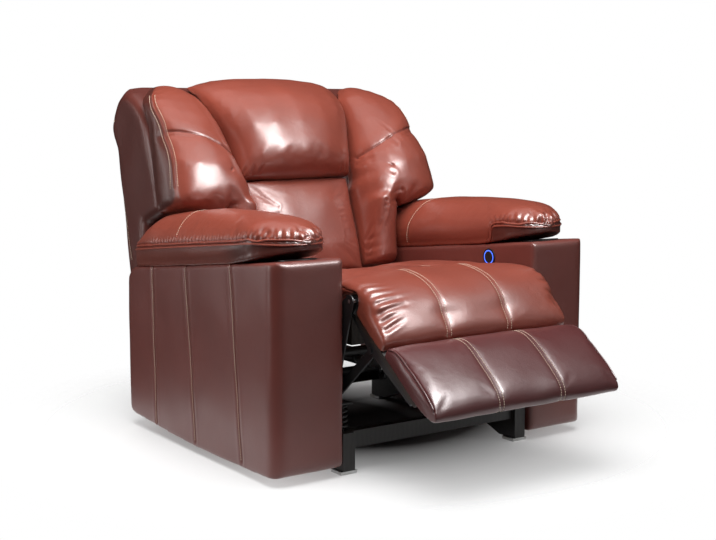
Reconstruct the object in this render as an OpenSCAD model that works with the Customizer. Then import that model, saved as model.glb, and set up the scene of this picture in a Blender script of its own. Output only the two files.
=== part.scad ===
// Single powered rocker recliner with cup holders, as used in home cinemas.
// Millimetres. The sitter faces -Y, left is the sitter's left (+X), +Z is up.
// The origin lies on the floor under the middle of the rocker base.

/* [Overall] */
// Width over both arm boxes
overall_w = 1020; // [960:10:1100]
// Width of one arm box
arm_w = 200; // [180:5:220]
// Depth of the arm box, front to back
arm_l = 822; // [800:2:850]
// Height of the arm box's top at its front edge
arm_h = 550; // [540:2:570]
// Fall of the arm's top towards the back, in degrees
arm_slope = 6.5; // [5:0.5:8]
// Gap under the front of the arm box
arm_clear = 22; // [20:1:30]
// Height of the seat's side edge above the floor, at the front
seat_h = 474; // [470:1:480]
// Fall of the seat's side edge from front to back
seat_fall = 62; // [50:1:66]
// Lean of the backrest from upright, in degrees
back_tilt = 18.4; // [16:0.4:20]
// Length of the headrest, bolsters and lumbar cushion along that lean
back_l = 655; // [620:5:680]
// Width of the back at its side panels
back_w = 890; // [850:10:930]
// Depth of the back at its foot
back_d = 326; // [310:2:340]

/* [Rocker base] */
// Length of a base rail
rail_l = 674; // [640:2:700]
// Height of a base rail
rail_h = 105; // [98:1:108]
// Thickness of a base rail
rail_t = 36; // [28:1:38]
// Height of the arch under a base rail
arch_h = 62; // [40:1:70]
// Radius of the rocker cam
cam_r = 200; // [170:5:240]
// Wire of the rocker springs
spring_wire = 5; // [4:0.5:6]
// Turns of each rocker spring
spring_turns = 5; // [4:1:6]

/* [Mechanism] */
// Thickness of the side plates
plate_t = 4; // [3:0.5:5]
// Length of the legrest lever and of the crank that drives it
crank_l = 130; // [120:1:132]
// Thickness of the links
link_t = 6; // [4:0.5:6]
// Width of the links
link_w = 24; // [20:1:26]
// Radius of the pivot pins
pin_r = 5; // [4:0.5:6]
// Radius of the drive tube
tube_r = 12; // [10:0.5:13]

/* [Upholstery] */
// Length of the legrest from its hinge to its free edge
legrest_l = 402; // [380:2:404]
// Share of the legrest taken by the calf pad
calf_share = 0.375; // [0.35:0.005:0.45]
// Swell of the seat cushion at its middle
seat_crown = 20; // [10:1:30]
// Swell of the headrest
head_crown = 112; // [90:2:120]
// Swell of the lumbar cushion
lumbar_crown = 46; // [30:2:60]
// Swell of the side bolsters at their fullest
bolster_crown = 134; // [110:2:140]
// Height of an arm pad's lower band
pad_band = 58; // [50:1:64]
// Swell of an arm pad above its welt
pad_crown = 87; // [75:1:95]
// Inner radius of the cup holder
cup_r = 42; // [36:1:44]
// Depth of the cup holder
cup_depth = 62; // [50:1:80]

/* [Hidden] */

leather = [0.45, 0.19, 0.13];
dark_leather = [0.33, 0.14, 0.11];
black_wood = [0.08, 0.06, 0.05];
dark_wood = [0.16, 0.10, 0.07];
black_steel = [0.10, 0.10, 0.11];
zinc = [0.68, 0.69, 0.70];
black_plastic = [0.07, 0.07, 0.08];
nylon = [0.85, 0.84, 0.80];
blue_light = [0.20, 0.30, 0.95];

eps = 1;               // overrun of every cut
run = 0.05;            // running clearance of a pin in its bore
seat_gap = 0.3;        // gap between a soft piece and what carries it
side_gap = 6;          // gap between moving upholstery and the side plates

// Widths, measured from the middle plane
half_w = overall_w / 2;
inner_w = half_w - arm_w;
plate_x = inner_w - plate_t;
pad_half = plate_x - side_gap;
rail_gap = 3;
rail_out = plate_x - rail_gap;
rail_in = rail_out - rail_t;
lever_room = 16;
rod_gap = 2;
frame_gap = 4;
lever_x = pad_half - lever_room;
rod_x = lever_x - link_t - rod_gap;
frame_x = rod_x - frame_gap;

// Front to back places
arm_lead = 355;
arm_front = -arm_lead;
arm_rear = arm_front + arm_l;

// Pivots, as [y, z]
cam_gap = 0.7;
rock_pivot = [0, rail_h + cam_gap];
hinge_drop = 30;
hinge_lead = 18;
legrest_pivot = [arm_front - hinge_lead, seat_h - hinge_drop];
legrest_slope = 36.7;
lever_back = 25;
lever_angle = legrest_slope + lever_back;
lever_dir = [-cos(lever_angle), -sin(lever_angle)];
lever_end = legrest_pivot + crank_l * lever_dir;
spring_inset = 32;
spring_y = rail_l / 2 - spring_inset;
tab_l = 40;
crank_room = 38.4;
drive_rise = 169;
crank_end_y = tab_l / 2 - spring_y + link_w / 2 + crank_room;
drive_pivot = [crank_end_y - crank_l * lever_dir[0], rail_h + drive_rise];
crank_end = drive_pivot + crank_l * lever_dir;
back_setback = 605;
foot_rise = 6;
back_foot = [arm_front + back_setback, seat_h - seat_fall + foot_rise];
back_hinge_setback = 15;
back_hinge_drop = 88;
back_pivot = back_foot + [back_hinge_setback, -back_hinge_drop];

// Actuators
legrest_arm = 45;
legrest_gain = 1.2;
legrest_mid = 8;
legrest_travel_per_rad = legrest_arm * legrest_gain;
legrest_pin = drive_pivot + [-legrest_travel_per_rad * legrest_mid * PI / 180, -legrest_arm];
legrest_slop = 2.9;
recline_arm = 140;
recline_gain = 1.0175;
recline_mid = 15;
recline_travel_per_rad = recline_arm * recline_gain;
recline_pin = back_pivot + [recline_travel_per_rad * recline_mid * PI / 180, -recline_arm];
recline_slop = 0.5;
actuator_x = 70;
housing_r = 18;
rod_r = 10;
gearbox = [44, 60, 44];
motor_r = 23;
motor_l = 120;
cross_r = 11;
lever_t = 8;
ear_t = 6;
ear_gap = 1;
middle_tube_lead = 309;
rear_tube_lead = 75;
middle_tube = [back_pivot[0] - middle_tube_lead, recline_pin[1]];
rear_tube = [back_pivot[0] - rear_tube_lead, legrest_pin[1]];

// Seat frame
seat_rail_h = 40;
seat_rail_t = 26;
cushion_room = 53;
seat_rail_top = back_foot[1] - cushion_room;
seat_rail_z = seat_rail_top - seat_rail_h;
seat_frame_setback = 25;
seat_frame_lead = 19;
front_board_rise = 6;
seat_frame_front = arm_front + seat_frame_setback;
seat_frame_rear = back_pivot[0] - seat_frame_lead;
front_board_top = legrest_pivot[1] + front_board_rise;
wire_r = 2;
seat_base = seat_rail_top + 2 * wire_r + seat_gap;

// Backrest
up_dir = [sin(back_tilt), cos(back_tilt)];
out_dir = [-cos(back_tilt), sin(back_tilt)];
cushion_back = -46;
frame_t = 28;
back_half = back_w / 2;
wing_t = 224;
shell_wall = 12;
waist_inset = 6;
back_waist = pad_half - waist_inset;

// Outline helpers
function arc(c, r, a0, a1, n) =
    [for (i = [0:n]) c + r * [cos(a0 + (a1 - a0) * i / n), sin(a0 + (a1 - a0) * i / n)]];
function smooth(x) = x <= 0 ? 0 : x >= 1 ? 1 : x * x * (3 - 2 * x);
function dome(x) = sqrt(max(0, 1 - x * x));
function mix(a, b, k) = a + (b - a) * k;
function unit(v) = v / norm(v);
function left_of(v) = [-v[1], v[0]];
function back_point(t, n) = back_foot + t * up_dir + n * out_dir;
function legrest_point(s, n) =
    legrest_pivot
    + s * [-cos(legrest_slope), -sin(legrest_slope)]
    + n * [-sin(legrest_slope), cos(legrest_slope)];
// Moves each side of a counter-clockwise outline inwards by d
function inset(list, d) =
    let (n = len(list))
    [for (i = [0:n - 1])
        let (a = left_of(unit(list[i] - list[(i + n - 1) % n])),
             b = left_of(unit(list[(i + 1) % n] - list[i])))
        list[i] + d * (a + b) / (1 + a * b)];

// A closed solid through rings that all have the same number of points
module loft(rings) {
    n = len(rings[0]);
    m = len(rings);
    body = [for (r = rings) each r];
    first = sum_points(rings[0], n) / n;
    last = sum_points(rings[m - 1], n) / n;
    sides = [for (i = [0:m - 2], j = [0:n - 1])
        each [[i * n + j, (i + 1) * n + (j + 1) % n, i * n + (j + 1) % n],
              [i * n + j, (i + 1) * n + j, (i + 1) * n + (j + 1) % n]]];
    start = [for (j = [0:n - 1]) [m * n, j, (j + 1) % n]];
    end = [for (j = [0:n - 1]) [m * n + 1, (m - 1) * n + (j + 1) % n, (m - 1) * n + j]];
    polyhedron(concat(body, [first, last]), concat(sides, start, end));
}
function sum_points(list, n, i = 0) = i == n - 1 ? list[i] : list[i] + sum_points(list, n, i + 1);

// A tube along points; refs are directions that lie across the tube
module tube_along(points, refs, r, sides) {
    last = len(points) - 1;
    loft([for (i = [0:last])
        let (t = unit(points[min(i + 1, last)] - points[max(i - 1, 0)]),
             b = unit(cross(t, refs[i])),
             c = cross(b, t))
        [for (k = [0:sides - 1]) points[i] + r * (cos(360 * k / sides) * c + sin(360 * k / sides) * b)]]);
}
// Least gap of a tube to itself, between points at least far steps apart
function self_gap(points, far, wire) =
    min([for (i = [0:len(points) - 1 - far], j = [i + far:len(points) - 1]) norm(points[i] - points[j])]) - wire;

module side(s) mirror([s < 0 ? 1 : 0, 0, 0]) children();
// Extrudes a [y, z] shape along X from x0 to x1
module slab(x0, x1) translate([x0, 0, 0]) rotate([90, 0, 90]) linear_extrude(x1 - x0) children();
module pin_x(at, r, x0, x1) translate([x0, at[0], at[1]]) rotate([0, 90, 0])
    cylinder(r = r, h = x1 - x0, $fn = 48);
module rod_y(x, z, r, y0, y1) translate([x, y0, z]) rotate([-90, 0, 0]) cylinder(r = r, h = y1 - y0, $fn = 48);
module bar_2d(p, q, w) {
    d = q - p;
    translate(p) rotate(atan2(d[1], d[0])) {
        for (x = [0, norm(d)]) translate([x, 0]) circle(w / 2, $fn = 48);
        translate([0, -w / 2]) square([norm(d), w]);
    }
}

// Rocker base
foot_t = 8;
foot_l = 46;
foot_w = 48;
leg_l = 66;
foot_y = rail_l / 2 - foot_l / 2;
strip_t = 3;
strip_l = 180;
cross_t = 25;
cross_y = rail_l / 2 - cross_t;
bolt_r = 3.5;
bolt_head_r = 7;
bolt_head_t = 2.2;
bolt_grip = 30;
bolt_heights = [mix(arch_h, rail_h, 0.25), mix(arch_h, rail_h, 0.75)];
spring_r = 13;
spring_room = 70;
spring_top = rail_h + spring_room;
coil_steps = 8;
rail_mid = (rail_in + rail_out) / 2;
function arch_points(n) =
    let (half = rail_l / 2 - leg_l,
         rise = arch_h - foot_t,
         r = (half * half + rise * rise) / (2 * rise),
         a = asin(half / r))
    arc([0, arch_h - r], r, 90 + a, 90 - a, n);

module bolt_holes(x0, x1) for (y = [-cross_y, cross_y], z = bolt_heights) pin_x([y, z], bolt_r + run, x0, x1);
module base_rail(s) color(black_wood) side(s) difference() {
    slab(rail_in, rail_out) polygon(concat(
        [[-rail_l / 2, foot_t], [-rail_l / 2, rail_h], [-strip_l / 2, rail_h],
         [-strip_l / 2, rail_h - strip_t], [strip_l / 2, rail_h - strip_t], [strip_l / 2, rail_h],
         [rail_l / 2, rail_h], [rail_l / 2, foot_t]],
        [for (p = arch_points(18)) [-p[0], p[1]]]));
    bolt_holes(rail_in - eps, rail_out + eps);
}
module base_cross_rails() color(black_wood) difference() {
    for (y = [-cross_y, cross_y])
        translate([-rail_in, y - cross_t / 2, arch_h]) cube([2 * rail_in, cross_t, rail_h - arch_h]);
    for (s = [-1, 1]) side(s) bolt_holes(rail_in - bolt_grip, rail_in + eps);
}
module foot_glides() color(zinc) for (x = [-1, 1], y = [-1, 1])
    translate([x * rail_mid - foot_w / 2, y * foot_y - foot_l / 2, 0]) cube([foot_w, foot_l, foot_t]);
module wear_strips() color(nylon) for (s = [-1, 1]) side(s)
    translate([rail_in, -strip_l / 2, rail_h - strip_t]) cube([rail_t, strip_l, strip_t]);
module base_bolts() color(zinc) for (s = [-1, 1], y = [-cross_y, cross_y], z = bolt_heights) side(s) {
    pin_x([y, z], bolt_r, rail_in - bolt_grip, rail_out);
    pin_x([y, z], bolt_head_r, rail_out, rail_out + bolt_head_t);
}

// Rocker springs: upright coils between the rails and the side plates' tabs
coil_rise = spring_room - spring_wire - 2 * seat_gap;
coil_path = [for (i = [0:spring_turns * coil_steps]) let (a = 360 * i / coil_steps)
    [spring_r * cos(a), spring_r * sin(a),
     rail_h + spring_wire / 2 + seat_gap + coil_rise * i / (spring_turns * coil_steps)]];
echo(least_gap_of_rocker_spring = self_gap(coil_path, coil_steps - 2, spring_wire));
module rocker_springs() color(black_steel) for (s = [-1, 1], y = [-1, 1])
    translate([s * rail_mid, y * spring_y, 0])
    tube_along(coil_path, [for (p = coil_path) [p[0], p[1], 0]], spring_wire / 2, 6);

// Side plates carry every pivot, and end below in the rocker cams
cam_half = 100;
cam_rise = 38;
cam_top = rail_h + cam_rise;
tab_t = 4;
flange_half = 240;
journal_r = 8;
plate_margin = 16;
plate_lap = 25;
plate_foot = cam_top - plate_lap;
function cam_points(n) =
    let (a = asin(cam_half / cam_r))
    arc(rock_pivot + [0, cam_r], cam_r, 270 - a, 270 + a, n);
module rocker_cam(s) color(black_wood) side(s) slab(rail_in, plate_x)
    polygon(concat(cam_points(20), [[cam_half, cam_top], [-cam_half, cam_top]]));
plate_step = 50;
module plate_outline() {
    tab_end = spring_y + tab_l / 2;
    tab_start = spring_y - tab_l / 2;
    polygon([
        legrest_pivot - [plate_margin, 0],
        legrest_pivot + [0, plate_margin],
        [seat_frame_front + plate_step, mix(seat_rail_top, front_board_top, 0.4)],
        [seat_frame_front + 2 * plate_step, seat_rail_top],
        [back_pivot[0] + plate_margin, seat_rail_top],
        back_pivot + [plate_margin, -plate_margin],
        [tab_end, spring_top + plate_margin],
        [tab_end, spring_top],
        [tab_start, spring_top],
        [cam_half + plate_margin, cam_top + plate_margin],
        [cam_half - plate_margin, plate_foot],
        [plate_margin - cam_half, plate_foot],
        [-cam_half - plate_margin, cam_top + plate_margin],
        [-tab_start, spring_top],
        [-tab_end, spring_top],
        [-tab_end, spring_top + plate_step]]);
    for (p = [legrest_pivot, back_pivot]) translate(p) circle(plate_margin, $fn = 48);
}
module side_plate(s) color(black_steel) side(s) difference() {
    union() {
        slab(plate_x, inner_w) plate_outline();
        for (y = [-1, 1]) translate([rail_in, y * spring_y - tab_l / 2, spring_top])
            cube([plate_x - rail_in, tab_l, tab_t]);
        translate([frame_x - seat_rail_t, -flange_half, seat_rail_z - tab_t])
            cube([plate_x - frame_x + seat_rail_t, 2 * flange_half, tab_t]);
    }
    for (p = [legrest_pivot, back_pivot]) pin_x(p, pin_r + run, plate_x - eps, inner_w + eps);
    pin_x(drive_pivot, journal_r + run, plate_x - eps, inner_w + eps);
}
bracket_t = 5;
module pivot_pins() color(zinc) for (s = [-1, 1]) side(s) {
    pin_x(legrest_pivot, pin_r, lever_x - bracket_t, inner_w);
    pin_x(back_pivot, pin_r, back_waist - bracket_t, inner_w);
}
tube_wall = 2;
module cross_tubes() color(black_steel) for (at = [middle_tube, rear_tube]) difference() {
    pin_x(at, cross_r, -plate_x, plate_x);
    pin_x(at, cross_r - tube_wall, -plate_x - eps, plate_x + eps);
}

// Seat frame, springs and cushion
module seat_rail_side(s) color(dark_wood) side(s)
    translate([frame_x - seat_rail_t, seat_frame_front + seat_rail_t, seat_rail_z])
    cube([seat_rail_t, seat_frame_rear - seat_frame_front - 2 * seat_rail_t, seat_rail_h]);
module seat_rail_front() color(dark_wood) translate([-frame_x, seat_frame_front, seat_rail_z])
    cube([2 * frame_x, seat_rail_t, front_board_top - seat_rail_z]);
module seat_rail_rear() color(dark_wood) translate([-frame_x, seat_frame_rear - seat_rail_t, seat_rail_z])
    cube([2 * frame_x, seat_rail_t, seat_rail_h]);
seat_spring_count = 4;
wave_steps = 32;
wave_period = 6;
wave_w = 24;
wave_start = seat_frame_front + seat_rail_t;
spring_start = wave_start + 2 * seat_gap;
wave_end = seat_frame_rear - seat_rail_t / 2;
wave_path = [for (i = [0:wave_steps])
    [wave_w * sin(360 * i / wave_period) * smooth(i / 3) * smooth((wave_steps - i) / 3),
     mix(spring_start, wave_end, i / wave_steps), seat_rail_top + wire_r]];
echo(least_gap_of_seat_spring = self_gap(wave_path, wave_period / 2, 2 * wire_r));
module seat_springs() color(zinc) for (k = [0:seat_spring_count - 1])
    translate([mix(-frame_x, frame_x, (k + 0.5) / seat_spring_count), 0, 0])
    tube_along(wave_path, [for (p = wave_path) [0, 0, 1]], wire_r, 6);

// Section of a flat cushion: flat below, sides drawn in, crown and two stitched channels above
top_shares = [-1, -0.985, -0.94, -0.84, -0.68, -0.5, -0.36, -0.33, -0.3, -0.15,
              0, 0.15, 0.3, 0.33, 0.36, 0.5, 0.68, 0.84, 0.94, 0.985, 1];
channel_share = 0.33;
channel_depth = 4;
function swell(u) = pow(1 - pow(abs(u), 2.6), 0.62);
function channel(u) = abs(abs(u) - channel_share) < 0.01 ? channel_depth : 0;
function section(half, low, edge, crown, tuck) = concat(
    [[-half + tuck, low], [-half + tuck / 4, mix(low, edge, 0.5)]],
    [for (u = top_shares) [half * u, edge + crown * swell(u) - channel(u) * min(1, crown / channel_depth / 2)]],
    [[half - tuck / 4, mix(low, edge, 0.5)], [half - tuck, low]]);

// Seat, front to back: place, underside, side edge and share of the crown
nose_setback = 6;
nose_rise = 17;
nose_front = legrest_pivot[0] + nose_setback;
nose_low = legrest_pivot[1] + nose_rise;
board_low = front_board_top + seat_gap;
seat_tuck = 6;
seat_step = 0.1;
seat_rear_gap = 4;
fall_setback = 30;
seat_rear = back_foot[0] - seat_rear_gap;
fall_start = seat_frame_front + fall_setback;
function seat_edge(y) = seat_h - seat_fall * pow(max(0, (y - fall_start) / (seat_rear - fall_start)), 1.3);
nose_shares = [[0, 0.1, 0.35, 0.2], [0.08, 0, 0.55, 0.4], [0.4, 0, 0.8, 0.75], [0.85, 0, 0.96, 0.95], [1, 0, 1, 1]];
seat_shares = [[0, 1], [0.12, 1], [0.28, 1], [0.44, 1], [0.6, 0.95], [0.76, 0.8], [0.9, 0.6], [0.97, 0.4]];
seat_rings = concat(
    [for (r = nose_shares)
        [mix(nose_front, seat_frame_front - seat_gap, r[0]), mix(nose_low, seat_h, r[1]),
         mix(nose_low, seat_h, r[2]), r[3]]],
    [[seat_frame_front - seat_gap + seat_step, board_low, seat_h, 1],
     [wave_start + seat_gap - seat_step, board_low, seat_h, 1]],
    [for (r = seat_shares) let (y = mix(wave_start + seat_gap, seat_rear, r[0])) [y, seat_base, seat_edge(y), r[1]]],
    [[seat_rear, seat_base + seat_tuck, seat_edge(seat_rear) - 2 * seat_tuck, 0.2]]);
module seat_cushion() color(leather) loft([for (r = seat_rings)
    [for (p = section(pad_half, r[1], r[2], seat_crown * r[3], seat_tuck)) [p[0], r[0], p[1]]]]);

// Legrest pads, from the hinge outwards: place, depth below, edge height, share of the crown
pad_under = -25;
pad_start = 15;
pad_lip = 2;
pad_split = 1.5;
pad_height = 33;
pad_tuck = 4;
eye_margin = 1;
eye_r = link_w / 2 - eye_margin;
board_t = 12;
calf_crown = 16;
foot_crown = 14;
crease = pad_start + (legrest_l - pad_start) * calf_share;
calf_shares = [[0, 0.4, 0.55, 0.6], [0.05, 0.85, 0.76, 0.85], [0.18, 1, 0.88, 1], [0.36, 1, 0.86, 1],
               [0.55, 1, 0.78, 1], [0.72, 1, 0.64, 0.95], [0.86, 1, 0.48, 0.8], [0.95, 0.95, 0.32, 0.6],
               [1, 0.7, 0.08, 0.3]];
foot_shares = [[0, 0.7, 0.06, 0.2], [0.03, 1, 0.36, 0.5], [0.1, 1, 0.67, 0.8], [0.21, 1, 0.9, 1],
               [0.33, 1, 1, 1], [0.48, 1, 1, 1], [0.62, 1, 0.92, 1], [0.76, 0.9, 0.82, 1],
               [0.87, 0.72, 0.72, 0.9], [0.95, 0.48, 0.55, 0.6], [0.985, 0.16, 0.32, 0.35],
               [1, -0.08, 0.2, 0.15]];
module legrest_pad(s0, s1, shares, crown) color(leather) loft([for (i = [len(shares) - 1:-1:0])
    let (r = shares[i], s = mix(s0, s1, r[0]))
    [for (p = section(pad_half, pad_under * r[1] + seat_gap, pad_height * r[2], crown * r[3], pad_tuck))
        let (q = legrest_point(p[1] < eye_r + eye_margin ? max(s, pad_start) : s, p[1])) [p[0], q[0], q[1]]]]);
module calf_pad() legrest_pad(pad_lip, crease - pad_split, calf_shares, calf_crown);
module foot_pad() legrest_pad(crease + pad_split, legrest_l, foot_shares, foot_crown);
board_setback = 12;
board_start = pad_start + board_setback;
board_end = mix(crease, legrest_l, 0.66);
strip_n = pad_under - board_t;
module legrest_board() color(dark_wood) slab(-lever_x - link_t, lever_x + link_t) polygon([
    legrest_point(board_start, pad_under), legrest_point(board_end, pad_under),
    legrest_point(board_end, strip_n), legrest_point(board_start, strip_n)]);
module legrest_bracket(s) color(black_steel) side(s) difference() {
    slab(lever_x, lever_x + link_t) {
        strip_low = strip_n - link_w / 3;
        polygon([
            legrest_point(-eye_r, 0), legrest_point(eye_r, 0), legrest_point(eye_r, strip_n),
            legrest_point(board_end - board_t, strip_n), legrest_point(board_end - board_t, strip_low),
            legrest_point(crank_l, strip_n - 2 * eye_r), legrest_point(crank_l * 0.8, strip_n - 2 * eye_r),
            legrest_point(-eye_r, strip_n)]);
        translate(legrest_pivot) circle(eye_r, $fn = 48);
        translate(lever_end) circle(link_w / 2, $fn = 48);
    }
    for (p = [legrest_pivot, lever_end]) pin_x(p, pin_r + run, lever_x - eps, lever_x + link_t + eps);
}

// Legrest drive: a tube with a crank at each end, push rods and a central lever
collar = 3;
head_t = 3.5;
slack = 0.5;
boss_w = 8;
hub_gap = 2;
module drive_tube() color(black_steel) {
    pin_x(drive_pivot, tube_r, -lever_x, lever_x);
    for (s = [-1, 1]) side(s) {
        pin_x(drive_pivot, tube_r, lever_x + link_t, plate_x - hub_gap);
        pin_x(drive_pivot, journal_r, lever_x - eps, inner_w);
    }
}
module crank(s) color(black_steel) side(s) difference() {
    slab(lever_x, lever_x + link_t) {
        bar_2d(drive_pivot, crank_end, link_w);
        translate(drive_pivot) circle(tube_r + boss_w, $fn = 48);
    }
    pin_x(drive_pivot, journal_r, lever_x - eps, lever_x + link_t + eps);
    pin_x(crank_end, pin_r + run, lever_x - eps, lever_x + link_t + eps);
}
module push_rod(s) color(black_steel) side(s) {
    slab(rod_x, rod_x + link_t) bar_2d(lever_end, crank_end, link_w);
    for (p = [lever_end, crank_end]) {
        pin_x(p, pin_r, rod_x + link_t - eps, lever_x + link_t + head_t);
        pin_x(p, pin_r + collar, rod_x + link_t - eps, lever_x - slack);
        pin_x(p, pin_r + collar, lever_x + link_t + slack, lever_x + link_t + slack + head_t);
    }
}
// A lever plate with an open slot, in which a rod's pin slides
lever_w = 34;
drive_lever_w = 28;
legrest_swing = 45;
slot_wall = 8;
slot_lead = 4;
slot_run = 2;
function down_dir(a) = [sin(a), -cos(a)];
module slotted_lever(x, pivot, angle, arm, swing, slop, width) difference() {
    slab(x - lever_t / 2, x + lever_t / 2) difference() {
        union() {
            children();
            bar_2d(pivot, pivot + (arm / cos(swing) + slot_wall) * down_dir(angle), width);
        }
        bar_2d(pivot + (arm - slot_lead) * down_dir(angle), pivot + (arm / cos(swing) + slot_run) * down_dir(angle),
               2 * (pin_r + slop));
    }
    pin_x(pivot, tube_r, x - lever_t, x + lever_t);
}
module drive_lever() color(black_steel)
    slotted_lever(-actuator_x, drive_pivot, -legrest_mid, legrest_arm, legrest_swing, legrest_slop, drive_lever_w)
    translate(drive_pivot) circle(tube_r + boss_w, $fn = 48);

// Linear actuators: clamp and gearbox, housing tube, motor and sliding rod
clamp_l = 20;
function gear_end(tube, dir) = tube[0] + dir * (cross_r + gearbox[1]);
module actuator_body(x, tube, z, mouth, dir) {
    y0 = tube[0] - dir * clamp_l;
    y1 = gear_end(tube, dir);
    difference() {
        union() {
            translate([x - gearbox[0] / 2, min(y0, y1), z - gearbox[2] / 2])
                cube([gearbox[0], abs(y1 - y0), gearbox[2]]);
            rod_y(x, z, housing_r, min(y1, mouth), max(y1, mouth));
        }
        rod_y(x, z, rod_r + 2 * run, min(y1, mouth) - (dir < 0 ? eps : 0), max(y1, mouth) + (dir > 0 ? eps : 0));
        pin_x(tube, cross_r + run, x - gearbox[0], x + gearbox[0]);
    }
}
module motor(x, tube, z, dir) {
    out = x < 0 ? -1 : 1;
    translate([x + out * gearbox[0] / 2, tube[0] + dir * (cross_r + gearbox[1] / 2), z])
        rotate([0, out * 90, 0]) {
            cylinder(r = motor_r, h = motor_l, $fn = 48);
            translate([0, 0, motor_l]) cylinder(r = motor_r * 0.6, h = tab_t, $fn = 48);
        }
}
fork_w = lever_t + 2 * ear_gap + 2 * ear_t;
fork_h = 24;
fork_nose = 12;
fork_root = 6;
// The throat is how far the fork is open behind its pin
module actuator_rod(x, pin, dir, throat, length) {
    root = pin[0] + dir * (throat + fork_root);
    start = pin[0] - dir * fork_nose;
    difference() {
        union() {
            rod_y(x, pin[1], rod_r, min(root - dir, root + dir * length), max(root - dir, root + dir * length));
            translate([x - fork_w / 2, min(start, root), pin[1] - fork_h / 2])
                cube([fork_w, abs(root - start), fork_h]);
        }
        translate([x - lever_t / 2 - ear_gap, min(start - dir * eps, pin[0] + dir * throat), pin[1] - fork_h])
            cube([lever_t + 2 * ear_gap, throat + fork_nose + eps, 2 * fork_h]);
    }
    pin_x(pin, pin_r, x - lever_t / 2 - ear_gap - eps, x + lever_t / 2 + ear_gap + eps);
}
legrest_throat = 40;
recline_throat = 22;
legrest_mouth_gap = 106;
recline_mouth_gap = 112;
legrest_mouth = legrest_pin[0] + legrest_mouth_gap;
recline_mouth = recline_pin[0] - recline_mouth_gap;
legrest_rod_l = 176;
recline_rod_l = 148;
module legrest_actuator() color(black_plastic)
    actuator_body(-actuator_x, rear_tube, legrest_pin[1], legrest_mouth, -1);
module legrest_motor() color(zinc) motor(-actuator_x, rear_tube, legrest_pin[1], -1);
module legrest_actuator_rod() color(zinc) actuator_rod(-actuator_x, legrest_pin, 1, legrest_throat, legrest_rod_l);
module recline_actuator() color(black_plastic)
    actuator_body(actuator_x, middle_tube, recline_pin[1], recline_mouth, 1);
module recline_motor() color(zinc) motor(actuator_x, middle_tube, recline_pin[1], 1);
module recline_actuator_rod() color(zinc) actuator_rod(actuator_x, recline_pin, -1, recline_throat, recline_rod_l);
box_size = [110, 70, 34];
module control_box() color(black_plastic)
    translate([-box_size[0] / 2, seat_frame_rear - box_size[1], seat_rail_z - box_size[2]]) cube(box_size);

// Arms: a hollow wooden frame inside a padded leather cover
arm_skin = 7;
arm_board = 15;
top_corner = 14;
rear_corner = 78;
foot_corner = 26;
heel_corner = 40;
heel_rise = 14;
belly_drop = 11;
front_corner = 40;
edge_corner = 12;
// Side outline of the arm, and its plan, both drawn in by d
function arm_outline(d) =
    let (rear_top = arm_h - tan(arm_slope) * arm_l,
         front = [arm_front + top_corner, arm_h - top_corner * (1 / cos(arm_slope) + tan(arm_slope))],
         rear = [arm_rear - rear_corner, rear_top - rear_corner * (1 / cos(arm_slope) - tan(arm_slope))],
         toe = [arm_front + foot_corner, arm_clear + foot_corner],
         heel = [arm_rear - heel_corner, arm_clear + heel_rise + heel_corner],
         belly = [for (i = [1:7]) let (u = i / 8)
             [mix(heel[0], toe[0], u), arm_clear + heel_rise * (1 - u) + d - belly_drop * sin(180 * u)]])
    concat(arc(front, top_corner - min(d, top_corner - eps), 180, 90 - arm_slope, 4),
           arc(rear, rear_corner - d, 90 - arm_slope, 0, 8),
           arc(heel, heel_corner - d, 0, -90, 5),
           belly,
           arc(toe, foot_corner - d, 270, 180, 5));
function arm_plan(d) = concat(
    arc([half_w - front_corner, arm_front + front_corner], front_corner - d, 0, -90, 8),
    arc([inner_w + edge_corner, arm_front + edge_corner], max(eps, edge_corner - d), -90, -180, 3),
    [[inner_w + d, arm_rear - d]],
    arc([half_w - 2 * edge_corner, arm_rear - 2 * edge_corner], 2 * edge_corner - d, 90, 0, 4));
module arm_solid(d) intersection() {
    slab(inner_w + d, half_w - d) polygon(arm_outline(d));
    linear_extrude(arm_h + eps) polygon(arm_plan(d));
}
cup_x = inner_w + arm_w * 0.46;
cup_setback = 74;
cup_y = arm_front + cup_setback;
cup_wall = 2.5;
flange_w = 8;
flange_r = cup_r + flange_w;
flange_t = 3;
function arm_top(y) = arm_h - tan(arm_slope) * (y - arm_front);
module at_cup() translate([cup_x, cup_y, arm_top(cup_y)]) rotate([-arm_slope, 0, 0]) children();
module arm_holes(s) {
    at_cup() translate([0, 0, -cup_depth]) cylinder(r = cup_r + cup_wall + seat_gap, h = 2 * cup_depth, $fn = 72);
    if (s > 0) pin_x(switch_at, bezel_r + seat_gap, inner_w - eps, inner_w + bezel_depth + arm_skin);
}
module arm_cover(s) color(dark_leather) side(s) difference() {
    arm_solid(0);
    arm_solid(arm_skin);
    arm_holes(s);
}
module arm_frame(s) color(dark_wood) side(s) difference() {
    arm_solid(arm_skin + seat_gap);
    arm_solid(arm_skin + arm_board);
    arm_holes(s);
}
module cup_holder(s) color(black_plastic) side(s) at_cup() difference() {
    union() {
        translate([0, 0, seat_gap]) cylinder(r = flange_r, h = flange_t, $fn = 72);
        translate([0, 0, -cup_depth]) cylinder(r = cup_r + cup_wall, h = cup_depth + seat_gap + eps, $fn = 72);
    }
    translate([0, 0, flange_t - cup_depth + cup_wall]) cylinder(r = cup_r, h = cup_depth + eps, $fn = 72);
}

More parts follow.
